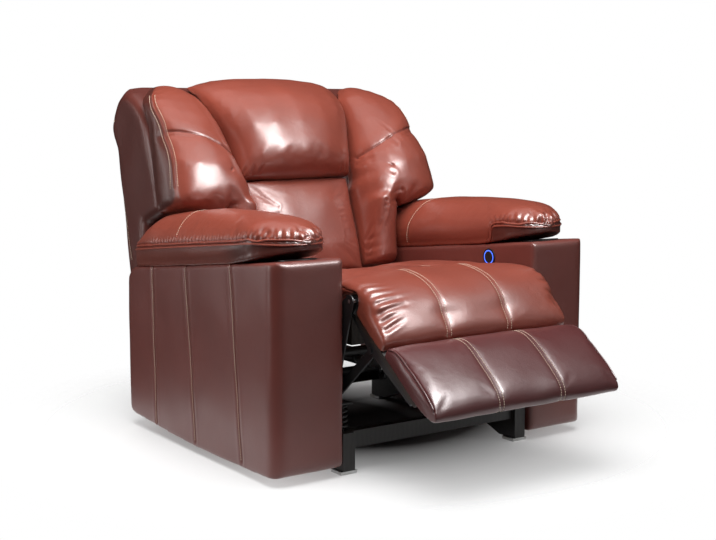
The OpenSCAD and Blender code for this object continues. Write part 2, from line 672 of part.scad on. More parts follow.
// Switch in the left arm's inner face, with a lit ring and two half buttons
switch_setback = 182;
switch_drop = 59;
switch_at = [arm_front + switch_setback, arm_h - switch_drop];
bezel_r = 21;
bezel_lip = 3;
bezel_t = 3;
bezel_depth = 16;
light_r = 19.5;
light_w = 2.5;
light_t = 2;
button_r = 15;
button_proud = 1.5;
button_travel = 1.5;
button_split = 1;
button_room = 0.3;
button_back = bezel_depth - bezel_t;
module switch_bezel() color(black_plastic) difference() {
    union() {
        pin_x(switch_at, bezel_r, inner_w - bezel_t, inner_w + bezel_depth);
        pin_x(switch_at, bezel_r + bezel_lip, inner_w - bezel_t, inner_w - seat_gap);
    }
    pin_x(switch_at, button_r + button_room, inner_w - bezel_t - eps, inner_w + button_back);
    difference() {
        pin_x(switch_at, light_r + run, inner_w - bezel_t - eps, inner_w - bezel_t + light_t);
        pin_x(switch_at, light_r - light_w - run, inner_w - bezel_t - 2 * eps, inner_w);
    }
}
module switch_light_ring() color(blue_light) difference() {
    pin_x(switch_at, light_r, inner_w - bezel_t, inner_w - bezel_t + light_t);
    pin_x(switch_at, light_r - light_w, inner_w - bezel_t - eps, inner_w);
}
module switch_button(s) color(black_plastic) intersection() {
    pin_x(switch_at, button_r, inner_w - bezel_t - button_proud, inner_w + button_back - button_travel - button_room);
    translate([inner_w - 2 * bezel_depth, switch_at[0] + (s > 0 ? button_split / 2 : -button_r - button_split / 2),
               switch_at[1] - button_r])
        cube([4 * bezel_depth, button_r, 2 * button_r]);
}

// Arm pads: a band below the welt and a crowned pillow above, with a raised round nose
pad_over = 8;
pad_mid = (inner_w + half_w) / 2;
pad_wide = arm_w / 2 + pad_over;
pad_rear_gap = 72;
pad_setback = 22;
pad_rear = arm_rear - pad_rear_gap;
pad_nose = arm_front + pad_setback;
nose_l = 108;
nose_lean = 15;
lift_l = 150;
pad_lift = 26;
welt_dip = 10;
pad_tail = 60;
band_shares = [[0.93, 0], [0.97, 0.3], [0.985, 0.62], [1, 1]];
pillow_angles = [12, 28, 46, 66, 90, 114, 134, 152, 168];
pad_nose_shares = [0, 0.02, 0.07, 0.15, 0.27, 0.42, 0.6, 0.8, 1];
pad_rear_shares = [0.14, 0.3, 0.46, 0.62, 0.76, 0.87, 0.94, 0.98, 1];
pad_stops = [
    for (k = pad_nose_shares) pad_nose + nose_l * k,
    for (k = pad_rear_shares) mix(pad_nose + nose_l, pad_rear, k)];
function pad_section(y) =
    let (lead = max(0, 1 - (y - pad_nose) / nose_l),
         w = pad_wide * max(0.15, dome(lead)) - nose_lean * lead,
         mid = pad_mid - nose_lean * lead,
         tail = smooth((pad_rear - y) / pad_tail),
         low = arm_top(y) + seat_gap + pad_lift * max(0, 1 - (y - pad_nose) / lift_l),
         welt = arm_top(y) + pad_band - welt_dip * smooth(lead),
         rise = pow(min(1, max(0.004, (y - pad_nose) / (pad_rear - pad_nose) / 0.62)), 0.33),
         crest = pad_crown * rise * (0.35 + 0.65 * tail))
    concat([for (p = band_shares) [mid - w * p[0], y, mix(low, welt, p[1])]],
           [for (a = pillow_angles) [mid - w * cos(a), y, welt + crest * pow(sin(a), 0.8)]],
           [for (i = [3:-1:0]) let (p = band_shares[i]) [mid + w * p[0], y, mix(low, welt, p[1])]]);
module arm_pad(s) color(leather) side(s) loft([for (y = pad_stops) pad_section(y)]);

// Backrest profile: line of the side seams and the face behind the cushions
seam_front = -16;
seam_fall = 17;
roll_fall = 97;
roll_start = back_l * 0.687;
roll_reach = back_l * 0.247;
piece_gap = 1.2;
lumbar_top = back_l * 0.458;
bolster_top = back_l * 0.959;
function roll_back(t) = roll_fall * pow(max(0, (t - roll_start) / roll_reach), 2);
function face_n(t) = cushion_back - roll_back(t);
function seam_n(t) = seam_front - seam_fall * smooth((t - lumbar_top) / (roll_start - lumbar_top)) - roll_back(t);
// Half width of the middle cushions
valley_low_share = 0.422;
valley_mid_share = 0.454;
valley_top_share = 0.562;
function valley(t) = back_half * (t < lumbar_top
    ? valley_low_share
    : mix(valley_mid_share, valley_top_share, smooth((t - lumbar_top) / (bolster_top - lumbar_top))));
// Ring of a cushion: across in shares, and the height of the front there
front_shares = [[0, 0], [0.015, 0.3], [0.06, 0.56], [0.15, 0.79], [0.3, 0.95], [0.5, 1],
                [0.7, 0.95], [0.85, 0.79], [0.94, 0.56], [0.985, 0.3], [1, 0]];
wing_shares = [[0, 0], [0.015, 0.3], [0.06, 0.56], [0.15, 0.79], [0.3, 0.95], [0.5, 1],
               [0.72, 0.98], [0.88, 0.88], [0.955, 0.73], [0.99, 0.42], [1, 0]];
function lean_t(t, u, slant, arch) = t + slant * (u - 0.5) - arch * pow(2 * u - 1, 2);
function ring_point(x0, x1, u, t, n) = let (q = back_point(t, n)) [mix(x0, x1, u), q[0], q[1]];
function cushion_ring(t, x0, x1, crown, slant, arch, shares) =
    let (t0 = lean_t(t, 0, slant, arch),
         t1 = lean_t(t, 1, slant, arch))
    concat([ring_point(x0, x1, 0.015, t0, face_n(t0) + seat_gap + roll_room(t0))],
           [for (p = shares) let (tp = lean_t(t, p[0], slant, arch))
               ring_point(x0, x1, p[0], tp, seam_n(tp) + crown * p[1])],
           [ring_point(x0, x1, 0.985, t1, face_n(t1) + seat_gap + roll_room(t1))]);
room_most = 12;
room_reach = 60;
function roll_room(t) = room_most * smooth((t - roll_start) / room_reach);

lumbar_start = 6;
lumbar_shares = [[0, 0.2], [0.02, 0.42], [0.08, 0.7], [0.2, 0.92], [0.36, 1], [0.54, 1], [0.7, 0.98],
                 [0.84, 0.9], [0.93, 0.72], [0.98, 0.5], [1, 0.3]];
module lumbar_cushion() color(leather) loft([for (r = lumbar_shares)
    let (t = mix(lumbar_start, lumbar_top - piece_gap, r[0]), w = valley(0) - piece_gap)
    cushion_ring(t, -w, w, lumbar_crown * r[1], 0, 0, front_shares)]);
head_shares = [[0, 0.3], [0.02, 0.48], [0.07, 0.72], [0.16, 0.94], [0.28, 1], [0.42, 1], [0.56, 0.97],
               [0.7, 0.92], [0.82, 0.87], [0.91, 0.82], [0.97, 0.76], [1, 0.52]];
head_arch = 28;
head_over = 5;
module headrest_cushion() color(leather) loft([for (r = head_shares)
    let (t = mix(lumbar_top + piece_gap, back_l + head_over, r[0]),
         arch = head_arch * smooth((r[0] - 0.45) / 0.55),
         w = valley(max(t - arch, lumbar_top + eps)) - piece_gap)
    cushion_ring(t, -w, w, head_crown * r[1], 0, arch, front_shares)]);

// Side bolsters: narrow between the arms, wide above the arm pads
wing_over = 18;
waist_gap = 2;
wing_taper = 85;
crown_taper = 60;
bolster_slant = 78;
low_shares = [[0.06, 0.25], [0.08, 0.4], [0.15, 0.52], [0.31, 0.6], [0.54, 0.72], [0.76, 0.86], [0.92, 0.95],
              [0.96, 0.96]];
high_shares = [[0, 0.98], [0.02, 1], [0.05, 1], [0.12, 1], [0.22, 1], [0.32, 0.93], [0.385, 0.86],
               [0.405, 0.83], [0.42, 0.82], [0.435, 0.81], [0.455, 0.8], [0.54, 0.7], [0.66, 0.58],
               [0.77, 0.5], [0.86, 0.46], [0.93, 0.43], [0.975, 0.38], [1, 0.28]];
crease_share = 0.42;
bolster_rings = concat(
    [for (r = low_shares) [wing_t * r[0], r[1]]],
    [for (r = high_shares) [mix(wing_t, bolster_top, r[0]), r[1] - (r[0] == crease_share ? 0.1 : 0)]]);
function wing_x(t) =
    mix(back_waist + waist_gap, back_half + wing_over, pow(smooth((t / wing_t - 0.93) / 0.12), 0.5))
    - wing_over * smooth((t - wing_t) / (roll_start - wing_t))
    - wing_taper * pow(max(0, (t / bolster_top - 0.8) / 0.2), 2.2);
early = 18;
function bolster_x(t) = valley(t + early) + piece_gap + crown_taper * pow(max(0, (t / bolster_top - 0.88) / 0.12), 2);
function bolster_lean(t) = bolster_slant
    * smooth((t - wing_t) / (roll_start - wing_t) * 1.6)
    * (1 - smooth((t - roll_start) / roll_reach));
module bolster(s) color(leather) side(s) loft([for (r = bolster_rings)
    let (slant = bolster_lean(r[0]))
    cushion_ring(r[0], bolster_x(r[0] - slant / 2), wing_x(r[0]), bolster_crown * r[1], slant, 0, wing_shares)]);

// Upholstered shell of the back, wide above and behind the arms, narrow between them
shell_foot = 300;
shell_clear = 17;
under_fall = 75;
waist_low = -52;
waist_over = 30;
under_gap = 2;
shell_rise = 24;
rise_start_share = 0.73;
roll_shares = [[0.955, -0.56], [0.94, -0.7], [0.905, -0.79], [0.86, -0.87], [0.83, -0.905], [0.79, -0.9],
               [0.73, -0.868], [0.145, -1]];
// Half width and rise of each step of the shell's rounded upper edge
step_shares = [[1, 0], [0.975, 0.35], [0.94, 0.7], [0.89, 1]];
shell_rear = back_point(back_l * 0.145, -back_d);
function shell_side(rise) = concat(
    [back_point(wing_t, cushion_back)],
    [for (k = [0:4]) let (t = roll_start + roll_reach * k / 4) back_point(t, face_n(t))],
    [for (r = roll_shares)
        back_point(back_l * r[0] + rise * max(0, (r[0] - rise_start_share) / (1 - rise_start_share)), back_d * r[1])],
    [[shell_rear[0] - under_fall / 3, shell_foot],
     [arm_rear + shell_clear + under_fall / 2, shell_foot],
     [arm_rear + shell_clear, shell_foot + under_fall],
     back_point(wing_t - under_gap, -back_d / 2)]);
function shell_waist() = [
    back_point(wing_t + waist_over, cushion_back), back_point(wing_t + waist_over, -back_d * 0.55),
    [arm_rear + shell_clear + under_fall, shell_foot + under_fall],
    [arm_rear + shell_clear + under_fall / 2, shell_foot],
    back_point(waist_low, cushion_back - under_fall), back_point(waist_low, cushion_back)];
function turned(list) = [for (i = [len(list) - 1:-1:0]) list[i]];
module shell_wide(d) for (k = step_shares)
    slab(d - back_half * k[0], back_half * k[0] - d) polygon(inset(turned(shell_side(shell_rise * k[1])), d));
module shell_narrow(d) slab(d - back_waist, back_waist - d) polygon(inset(turned(shell_waist()), d));
module back_shell() color(dark_leather) difference() {
    union() {
        difference() {
            shell_wide(0);
            shell_wide(shell_wall);
        }
        difference() {
            shell_narrow(0);
            shell_narrow(shell_wall);
        }
    }
    frame_room();
    slab(actuator_x - lever_t / 2 - seat_gap, actuator_x + lever_t / 2 + seat_gap)
        polygon(back_lever_outline(seat_gap));
}

// Wooden frame let into the front of the shell, with brackets and the recline lever
upright_w = 40;
bracket_setback = 4;
frame_half = back_waist - shell_wall;
frame_low = waist_low + shell_wall;
frame_drop = 4;
frame_high = roll_start - frame_drop;
frame_back = cushion_back - frame_t;
module frame_room() slab(-frame_half - seat_gap, frame_half + seat_gap) polygon([
    back_point(frame_low - seat_gap, cushion_back + eps), back_point(frame_high + seat_gap, cushion_back + eps),
    back_point(frame_high + seat_gap, frame_back - seat_gap), back_point(frame_low - seat_gap, frame_back - seat_gap)]);
module frame_piece(x0, x1, t0, t1) color(dark_wood) slab(x0, x1) polygon([
    back_point(t0, cushion_back), back_point(t1, cushion_back),
    back_point(t1, frame_back), back_point(t0, frame_back)]);
rail_bottom_top = frame_low + 1.5 * upright_w;
module back_uprights() for (s = [-1, 1]) side(s)
    frame_piece(frame_half - upright_w, frame_half, rail_bottom_top, frame_high - upright_w);
module back_rail_top() frame_piece(-frame_half, frame_half, frame_high - upright_w, frame_high);
module back_rail_bottom() frame_piece(-frame_half, frame_half, frame_low, rail_bottom_top);
module back_bracket(s) color(black_steel) side(s) difference() {
    union() {
        pin_x(back_pivot, plate_margin, back_waist, back_waist + bracket_t);
        slab(back_waist, back_waist + bracket_t) polygon([
            back_pivot - plate_margin * [0.7, 0.3],
            back_point(upright_w, cushion_back - bracket_setback),
            back_point(2 * upright_w, cushion_back - bracket_setback),
            back_point(2 * upright_w, frame_back),
            back_pivot + plate_margin * [0.7, -0.3]]);
    }
    pin_x(back_pivot, pin_r + run, back_waist - eps, back_waist + bracket_t + eps);
}
recline_dir = down_dir(recline_mid);
recline_reach = recline_arm / cos(recline_mid);
recline_half = pin_r + recline_slop;
function arm_point(l, w) = back_pivot + l * recline_dir + w * [-recline_dir[1], recline_dir[0]];
function back_lever_outline(grow) =
    let (w = lever_w / 2 + grow)
    [back_point(frame_low - grow, frame_back),
     back_point(rail_bottom_top + grow, frame_back),
     back_point(rail_bottom_top + grow, frame_back - lever_w - grow),
     arm_point(recline_arm * 0.6, w), arm_point(recline_reach + lever_w / 2, w),
     arm_point(recline_reach + lever_w / 2, -w), arm_point(recline_arm * 0.6, -w)];
module back_lever() color(black_steel) difference() {
    slab(actuator_x - lever_t / 2, actuator_x + lever_t / 2) polygon(back_lever_outline(0));
    slab(actuator_x - lever_t, actuator_x + lever_t) polygon([
        arm_point(recline_arm - pin_r - slot_lead, recline_half),
        arm_point(recline_reach + pin_r + slot_run, recline_half),
        arm_point(recline_reach + pin_r + slot_run, -recline_half),
        arm_point(recline_arm - pin_r - slot_lead, -recline_half)]);
}

base_rail(1);  // base_rail_left
base_rail(-1);  // base_rail_right
base_cross_rails();
foot_glides();
wear_strips();
base_bolts();
rocker_springs();
side_plate(1);  // side_plate_left
side_plate(-1);  // side_plate_right
rocker_cam(1);  // rocker_cam_left
rocker_cam(-1);  // rocker_cam_right
cross_tubes();
pivot_pins();
seat_rail_side(1);  // seat_rail_left
seat_rail_side(-1);  // seat_rail_right
seat_rail_front();
seat_rail_rear();
seat_springs();
seat_cushion();
arm_frame(1);  // arm_frame_left
arm_frame(-1);  // arm_frame_right
arm_cover(1);  // arm_cover_left
arm_cover(-1);  // arm_cover_right
arm_pad(1);  // arm_pad_left
arm_pad(-1);  // arm_pad_right
cup_holder(1);  // cup_holder_left
cup_holder(-1);  // cup_holder_right
switch_bezel();
switch_light_ring();
switch_button(-1);  // switch_button_open
switch_button(1);  // switch_button_close
legrest_actuator();
legrest_motor();
legrest_actuator_rod();
recline_actuator();
recline_motor();
recline_actuator_rod();
control_box();
drive_tube();
crank(1);  // crank_left
crank(-1);  // crank_right
drive_lever();
push_rod(1);  // push_rod_left
push_rod(-1);  // push_rod_right
legrest_board();
legrest_bracket(1);  // legrest_bracket_left
legrest_bracket(-1);  // legrest_bracket_right
calf_pad();
foot_pad();
back_shell();
back_uprights();
back_rail_top();
back_rail_bottom();
back_bracket(1);  // back_bracket_left
back_bracket(-1);  // back_bracket_right
back_lever();
headrest_cushion();
lumbar_cushion();
bolster(1);  // bolster_left
bolster(-1);  // bolster_right
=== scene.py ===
"""Looks of the powered cinema recliner: leather upholstery, rocker base, mechanism and studio."""

import math
import random

import bmesh
import bpy
import numpy as np
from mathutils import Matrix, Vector
from mathutils.bvhtree import BVHTree
from mathutils.noise import noise


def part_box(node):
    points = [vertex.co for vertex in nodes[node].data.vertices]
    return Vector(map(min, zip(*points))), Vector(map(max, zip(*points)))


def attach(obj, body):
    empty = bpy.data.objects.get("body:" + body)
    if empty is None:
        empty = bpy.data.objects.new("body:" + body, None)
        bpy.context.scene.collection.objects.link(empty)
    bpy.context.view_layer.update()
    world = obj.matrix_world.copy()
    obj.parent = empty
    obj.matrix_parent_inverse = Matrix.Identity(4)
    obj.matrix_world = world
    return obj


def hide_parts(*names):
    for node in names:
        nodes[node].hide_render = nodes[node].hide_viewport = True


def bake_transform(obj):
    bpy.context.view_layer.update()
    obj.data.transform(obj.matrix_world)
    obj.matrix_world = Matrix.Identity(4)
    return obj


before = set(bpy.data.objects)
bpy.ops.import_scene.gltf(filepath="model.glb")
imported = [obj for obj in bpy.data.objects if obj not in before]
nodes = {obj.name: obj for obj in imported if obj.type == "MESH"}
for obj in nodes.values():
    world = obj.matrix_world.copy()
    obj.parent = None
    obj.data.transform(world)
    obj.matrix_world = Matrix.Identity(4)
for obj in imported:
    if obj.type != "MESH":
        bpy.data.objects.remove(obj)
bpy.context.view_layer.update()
dice = random.Random(11)

# Driving sizes of the part, in metres: the chair faces -Y, and its left arm is on +X
ARM_FRONT = -0.355
ARM_REAR = 0.467
ARM_INNER = 0.310
ARM_OUTER = 0.510
ARM_HEIGHT = 0.550
ARM_SLOPE = math.radians(6.5)
BACK_FOOT = (0.250, 0.418)
BACK_TILT = math.radians(18.4)
BACK_LEAN = np.array([math.sin(BACK_TILT), math.cos(BACK_TILT)])
BACK_LENGTH = 0.655
BACK_HALF = 0.445
BACK_DEPTH = 0.326
CUSHION_BACK = -0.046
LEGREST_HINGE = (-0.373, 0.444)
LEGREST_SLOPE = math.radians(36.7)
CHANNEL_X = 0.098
CHANNEL_HALF = 0.0065
WING_START = 0.224
ROLL_START = BACK_LENGTH * 0.687

# Sewing: pitch, length and thickness of one stitch, the cord inside a welt, and a traced line's pitch
STITCH_PITCH = 0.0062
STITCH_LENGTH = 0.0048
STITCH_RADIUS = 0.001
WELT_RADIUS = 0.0032
LINE_PITCH = 0.006

# Voxels of the remeshed pieces
VOXEL = 0.006
PAD_VOXEL = 0.005
ARM_VOXEL = 0.004
WAIST_VOXEL = 0.008

# Cushion filling: how far the start shape is drawn in, the swell, and how it settles afterwards
DRAWN_IN = 0.005
SWELL_CAP = 0.022
SWELL_FRAMES = 20
SWELL_CLOTH = {"quality": 4, "mass": 0.3, "tension_stiffness": 18, "compression_stiffness": 14,
               "shear_stiffness": 6, "bending_stiffness": 0.8, "use_pressure": True,
               "uniform_pressure_force": 4.0, "vertex_group_mass": "held"}
SETTLE_TIMES = 5
SETTLE_LIFT = 0.0015

# How far a point stands out of its surroundings where its rise is stored as 1
FULL_RISE = 0.0006
SIDES = ((1, "left"), (-1, "right"))


def smooth(x):
    """Rises smoothly from 0 to 1 while x goes from 0 to 1."""
    x = np.clip(x, 0, 1)
    return x * x * (3 - 2 * x)


def mix(a, b, k):
    return a + (b - a) * k


def shares(count):
    """Evenly spaced values from 0 to 1, count + 1 of them."""
    return [k / count for k in range(count + 1)]


def as_path(points):
    return np.array([tuple(p) for p in points], dtype=float)


def back_point(x, t, n):
    """A point of the backrest: t up along its lean from the foot, n out towards the sitter."""
    up = (math.sin(BACK_TILT), math.cos(BACK_TILT))
    return Vector((x, BACK_FOOT[0] + t * up[0] - n * up[1], BACK_FOOT[1] + t * up[1] + n * up[0]))


def legrest_point(x, s, n):
    """A point of the legrest: s out along it from the hinge, n up from it."""
    out = (math.cos(LEGREST_SLOPE), math.sin(LEGREST_SLOPE))
    return Vector((x, LEGREST_HINGE[0] - s * out[0] - n * out[1], LEGREST_HINGE[1] - s * out[1] + n * out[0]))


def arm_top(y):
    """Height of the arm box's top at a place, or at an array of places."""
    return ARM_HEIGHT - math.tan(ARM_SLOPE) * (y - ARM_FRONT)


# Meshes
def linked(name, mesh):
    piece = bpy.data.objects.new(name, mesh)
    bpy.context.scene.collection.objects.link(piece)
    return piece


def mesh_piece(name, points, faces):
    mesh = bpy.data.meshes.new(name)
    mesh.from_pydata([tuple(p) for p in points], [], faces)
    mesh.validate()
    mesh.update()
    return linked(name, mesh)


def modified(piece, kind, **settings):
    """Adds a modifier, keeps its result as the piece's mesh and takes the modifier off again."""
    modifier = piece.modifiers.new(kind.lower(), kind)
    for key, value in settings.items():
        setattr(modifier, key, value)
    graph = bpy.context.evaluated_depsgraph_get()
    mesh = bpy.data.meshes.new_from_object(piece.evaluated_get(graph))
    piece.modifiers.remove(modifier)
    old = piece.data
    piece.data = mesh
    bpy.data.meshes.remove(old)
    return piece


def remeshed(piece, voxel):
    return modified(piece, "REMESH", mode="VOXEL", voxel_size=voxel)


def copy_of(name, node):
    """A new piece with the shape of a node, and none of its materials."""
    mesh = nodes[node].data.copy()
    mesh.materials.clear()
    return linked(name, mesh)


def read_all(items, key, width, kind=float):
    values = np.empty(len(items) * width, dtype=kind)
    items.foreach_get(key, values)
    return values.reshape(-1, width)


def get_points(mesh):
    return read_all(mesh.vertices, "co", 3)


def get_normals(mesh):
    return read_all(mesh.vertex_normals, "vector", 3)


def get_edges(mesh):
    return read_all(mesh.edges, "vertices", 2, np.int64)


def set_points(mesh, co):
    mesh.vertices.foreach_set("co", co.ravel())
    mesh.update()


def relaxed(values, edges, times, share=0.5):
    """Draws the value at each point towards the mean of its neighbours."""
    count = len(values)
    ends = np.concatenate([edges[:, 0], edges[:, 1]])
    others = np.concatenate([edges[:, 1], edges[:, 0]])
    degree = np.maximum(np.bincount(ends, minlength=count), 1)
    flat = values.reshape(count, -1).copy()
    for _ in range(times):
        mean = np.stack([np.bincount(ends, flat[others, k], count) for k in range(flat.shape[1])], 1)
        flat += share * (mean / degree[:, None] - flat)
    return flat.reshape(values.shape)


def along_path(points, path):
    """Each point's distance from a path, and how far along the path it lies, from 0 to 1."""
    path = as_path(path)
    steps = np.linalg.norm(np.diff(path, axis=0), axis=1)
    starts = np.concatenate([[0], np.cumsum(steps)])
    nearest = np.full(len(points), np.inf)
    place = np.zeros(len(points))
    for a, b, step, start in zip(path[:-1], path[1:], steps, starts):
        if step < 1e-7:
            continue
        share = np.clip((points - a) @ (b - a) / step**2, 0, 1)
        distance = np.linalg.norm(points - a - share[:, None] * (b - a), axis=1)
        closer = distance < nearest
        nearest[closer] = distance[closer]
        place[closer] = (start + share[closer] * step) / starts[-1]
    return nearest, place


def relaxed_line(path, times):
    """A path with its small kinks taken out."""
    path = as_path(path)
    for _ in range(times):
        path[1:-1] = 0.5 * path[1:-1] + 0.25 * (path[:-2] + path[2:])
    return path


def evenly(path, pitch):
    """The path again, with its points one pitch apart."""
    path = as_path(path)
    starts = np.concatenate([[0], np.cumsum(np.linalg.norm(np.diff(path, axis=0), axis=1))])
    places = np.linspace(0, starts[-1], max(2, int(starts[-1] / pitch) + 1))
    return np.stack([np.interp(places, starts, path[:, k]) for k in range(3)], 1)


class Skin:
    """The outer surface of one soft piece, while its seams, folds and stitches are worked in."""

    def __init__(self, piece):
        self.piece = piece
        self.mesh = piece.data
        self.co = get_points(self.mesh)
        self.edges = get_edges(self.mesh)
        self.refresh()

    def refresh(self):
        set_points(self.mesh, self.co)
        self.normals = get_normals(self.mesh)
        self.tree = BVHTree.FromObject(self.piece, bpy.context.evaluated_depsgraph_get())

    def cast(self, origin, direction):
        """Where a ray meets the skin, or the nearest point of the skin if it misses."""
        hit = self.tree.ray_cast(Vector(origin), Vector(direction))[0]
        return hit if hit is not None else self.tree.find_nearest(Vector(origin))[0]

    def snapped(self, path):
        return [self.tree.find_nearest(Vector(p))[0] for p in path]

    def press(self, path, width, depth, lip=0.0, fade=(0.0, 0.0)):
        """Draws the skin in along a path, and lifts a lip on both sides of it."""
        path = as_path(path)
        reach = 4 * width
        near = np.all((self.co > path.min(0) - reach) & (self.co < path.max(0) + reach), axis=1)
        index = np.flatnonzero(near)
        if not len(index):
            return
        distance, place = along_path(self.co[index], path)
        shape = -np.exp(-((distance / width) ** 2))
        shape += lip * np.exp(-(((distance - 1.9 * width) / (0.9 * width)) ** 2))
        strength = np.ones(len(index))
        if fade[0]:
            strength *= smooth(place / fade[0])
        if fade[1]:
            strength *= smooth((1 - place) / fade[1])
        self.co[index] += self.normals[index] * (depth * shape * strength)[:, None]

    def ripple(self, size, depth, seed=0.0):
        """Lets the skin wave gently in and out, as stretched leather over soft filling does."""
        drift = Vector((seed, 2 * seed, -seed))
        waves = np.array([noise(Vector(p) / size + drift) for p in self.co])
        self.co += self.normals * (waves * depth)[:, None]
        self.refresh()
        return self

    def relax(self, times):
        self.co = relaxed(self.co, self.edges, times)
        self.refresh()
        return self

    def height_up_back(self):
        """How far up the backrest's lean each point lies."""
        return (self.co[:, 1:] - np.array(BACK_FOOT)) @ BACK_LEAN

    def mark(self, name, values):
        """Stores a value from -1 to 1 at each point, which the leather reads."""
        layer = self.mesh.attributes.new(name, "FLOAT", "POINT")
        layer.data.foreach_set("value", np.clip(values, -1, 1).astype(np.float32))

    def finished(self):
        """Stores how far each point stands out of its surroundings, for wear and painted highlight on ridges
        and painted shade in folds.
        """
        self.refresh()
        mean = relaxed(self.co, self.edges, 3)
        rise = np.einsum("ij,ij->i", self.co - mean, self.normals) / FULL_RISE
        self.mark("rise", relaxed(rise, self.edges, 1))
        self.mesh.shade_smooth()


def swell(pieces):
    """Fills all cushions at once: each row is a piece and its held points."""
    rows = []
    for piece, held in pieces:
        mesh = piece.data
        start = get_points(mesh) - get_normals(mesh) * np.where(held, 0, DRAWN_IN)[:, None]
        set_points(mesh, start)
        group = piece.vertex_groups.new(name="held")
        group.add([int(i) for i in np.flatnonzero(held)], 1.0, "REPLACE")
        cloth = piece.modifiers.new("swell", "CLOTH")
        for key, value in SWELL_CLOTH.items():
            setattr(cloth.settings, key, value)
        cloth.settings.effector_weights.gravity = 0
        cloth.point_cache.frame_start = 1
        cloth.point_cache.frame_end = SWELL_FRAMES
        rows.append((piece, start))
    for number in range(1, SWELL_FRAMES + 1):
        bpy.context.scene.frame_set(number)
    graph = bpy.context.evaluated_depsgraph_get()
    for piece, start in rows:
        evaluated = piece.evaluated_get(graph)
        moved = get_points(evaluated.to_mesh()) - start
        evaluated.to_mesh_clear()
        length = np.linalg.norm(moved, axis=1, keepdims=True)
        moved *= np.minimum(1, SWELL_CAP / np.maximum(length, 1e-9))
        piece.modifiers.clear()
        piece.vertex_groups.clear()
        set_points(piece.data, start + moved)
    bpy.context.scene.frame_set(1)


def ring_faces(rings, sides, first=0):
    """Faces between rings of points, with a cap at both ends. first is the first ring's first point."""
    faces = []
    for here in range(first, first + (rings - 1) * sides, sides):
        for k in range(sides):
            after = (k + 1) % sides
            faces.append((here + k, here + after, here + sides + after, here + sides + k))
    faces.append(tuple(first + k for k in range(sides - 1, -1, -1)))
    faces.append(tuple(first + (rings - 1) * sides + k for k in range(sides)))
    return faces


def smooth_piece(name, points, faces):
    piece = mesh_piece(name, points, faces)
    piece.data.shade_smooth()
    return piece


def tube(name, path, radius, sides=8):
    """A round cord along a path."""
    path = [Vector(p) for p in path]
    points = []
    across = None
    for i, point in enumerate(path):
        line = (path[min(i + 1, len(path) - 1)] - path[max(i - 1, 0)]).normalized()
        if across is None:
            across = line.orthogonal().normalized()
        across = (across - line * across.dot(line)).normalized()
        other = line.cross(across)
        for k in range(sides):
            a = 2 * math.pi * k / sides
            points.append(point + radius * (math.cos(a) * across + math.sin(a) * other))
    return smooth_piece(name, points, ring_faces(len(path), sides))


def joined(name, pieces):
    """One piece from several."""
    points = []
    faces = []
    for piece in pieces:
        start = len(points)
        points += [tuple(v.co) for v in piece.data.vertices]
        faces += [tuple(start + i for i in p.vertices) for p in piece.data.polygons]
        mesh = piece.data
        bpy.data.objects.remove(piece)
        bpy.data.meshes.remove(mesh)
    return smooth_piece(name, points, faces)


# Rings of one stitch: place along it, girth, and height over the leather in radii
STITCH_RINGS = ((0.0, 0.35, -0.6), (0.14, 0.85, 0.15), (0.5, 1.0, 0.55), (0.86, 0.85, 0.15),
                (1.0, 0.35, -0.6))
STITCH_SIDES = 6
STITCH_FLATNESS = 0.8


def stitches(name, skin, rows):
    """Thread along rows of sewing: each stitch is a small bent bead that dips into the leather."""
    points = []
    faces = []
    for row in rows:
        path = evenly(row, STITCH_PITCH / 4)
        for start in range(0, len(path) - 4, 4):
            a, b = Vector(path[start]), Vector(path[start + 4])
            line = (b - a).normalized()
            faces += ring_faces(len(STITCH_RINGS), STITCH_SIDES, len(points))
            for share, girth, height in STITCH_RINGS:
                hit, normal = skin.tree.find_nearest(a + line * (share * STITCH_LENGTH))[:2]
                across = line.cross(normal).normalized()
                middle = hit + normal * (height * STITCH_RADIUS)
                reach = girth * STITCH_RADIUS
                for k in range(STITCH_SIDES):
                    angle = 2 * math.pi * k / STITCH_SIDES
                    lift = STITCH_FLATNESS * math.sin(angle)
                    points.append(middle + reach * (math.cos(angle) * across + lift * normal))
    return dress(smooth_piece(name, points, faces), "thread")


# Materials
FINISHED = ("Colour", "Roughness", "Normal")


def socket_kind(label):
    if label == "Normal":
        return "NodeSocketVector"
    return "NodeSocketColor" if label.endswith("Colour") else "NodeSocketFloat"


def group_of(name, inputs, outputs=FINISHED):
    """A new node group: its tree, the sockets of its given values and its output node."""
    tree = bpy.data.node_groups.new(name, "ShaderNodeTree")
    for way, labels in (("INPUT", inputs), ("OUTPUT", outputs)):
        for label in labels:
            tree.interface.new_socket(label, in_out=way, socket_type=socket_kind(label))
    return tree, tree.nodes.new("NodeGroupInput").outputs, tree.nodes.new("NodeGroupOutput")


def add_node(tree, kind, links=(), **settings):
    """A node of this kind with settings; links are (input, output socket or value)."""
    node = tree.nodes.new(kind)
    for key, value in settings.items():
        setattr(node, key, value)
    for socket, source in links:
        if isinstance(source, bpy.types.NodeSocket):
            tree.links.new(source, node.inputs[socket])
        else:
            node.inputs[socket].default_value = source
    return node


def feed(tree, node, **sources):
    """Links each source to the node's input of that name."""
    for label, source in sources.items():
        tree.links.new(source, node.inputs[label.replace("_", " ")])


def texture(tree, kind, scale, links=(), **settings):
    place = tree.nodes.get("place") or add_node(tree, "ShaderNodeTexCoord", name="place")
    return add_node(tree, kind, [("Vector", place.outputs["Object"]), ("Scale", scale), *links], **settings)


def cloudy(tree, scale, detail, *links):
    return texture(tree, "ShaderNodeTexNoise", scale, [("Detail", detail), *links]).outputs["Fac"]


def span(tree, value, low, high, to_low=0.0, to_high=1.0):
    links = [("Value", value), ("From Min", low), ("From Max", high), ("To Min", to_low), ("To Max", to_high)]
    return add_node(tree, "ShaderNodeMapRange", links).outputs["Result"]


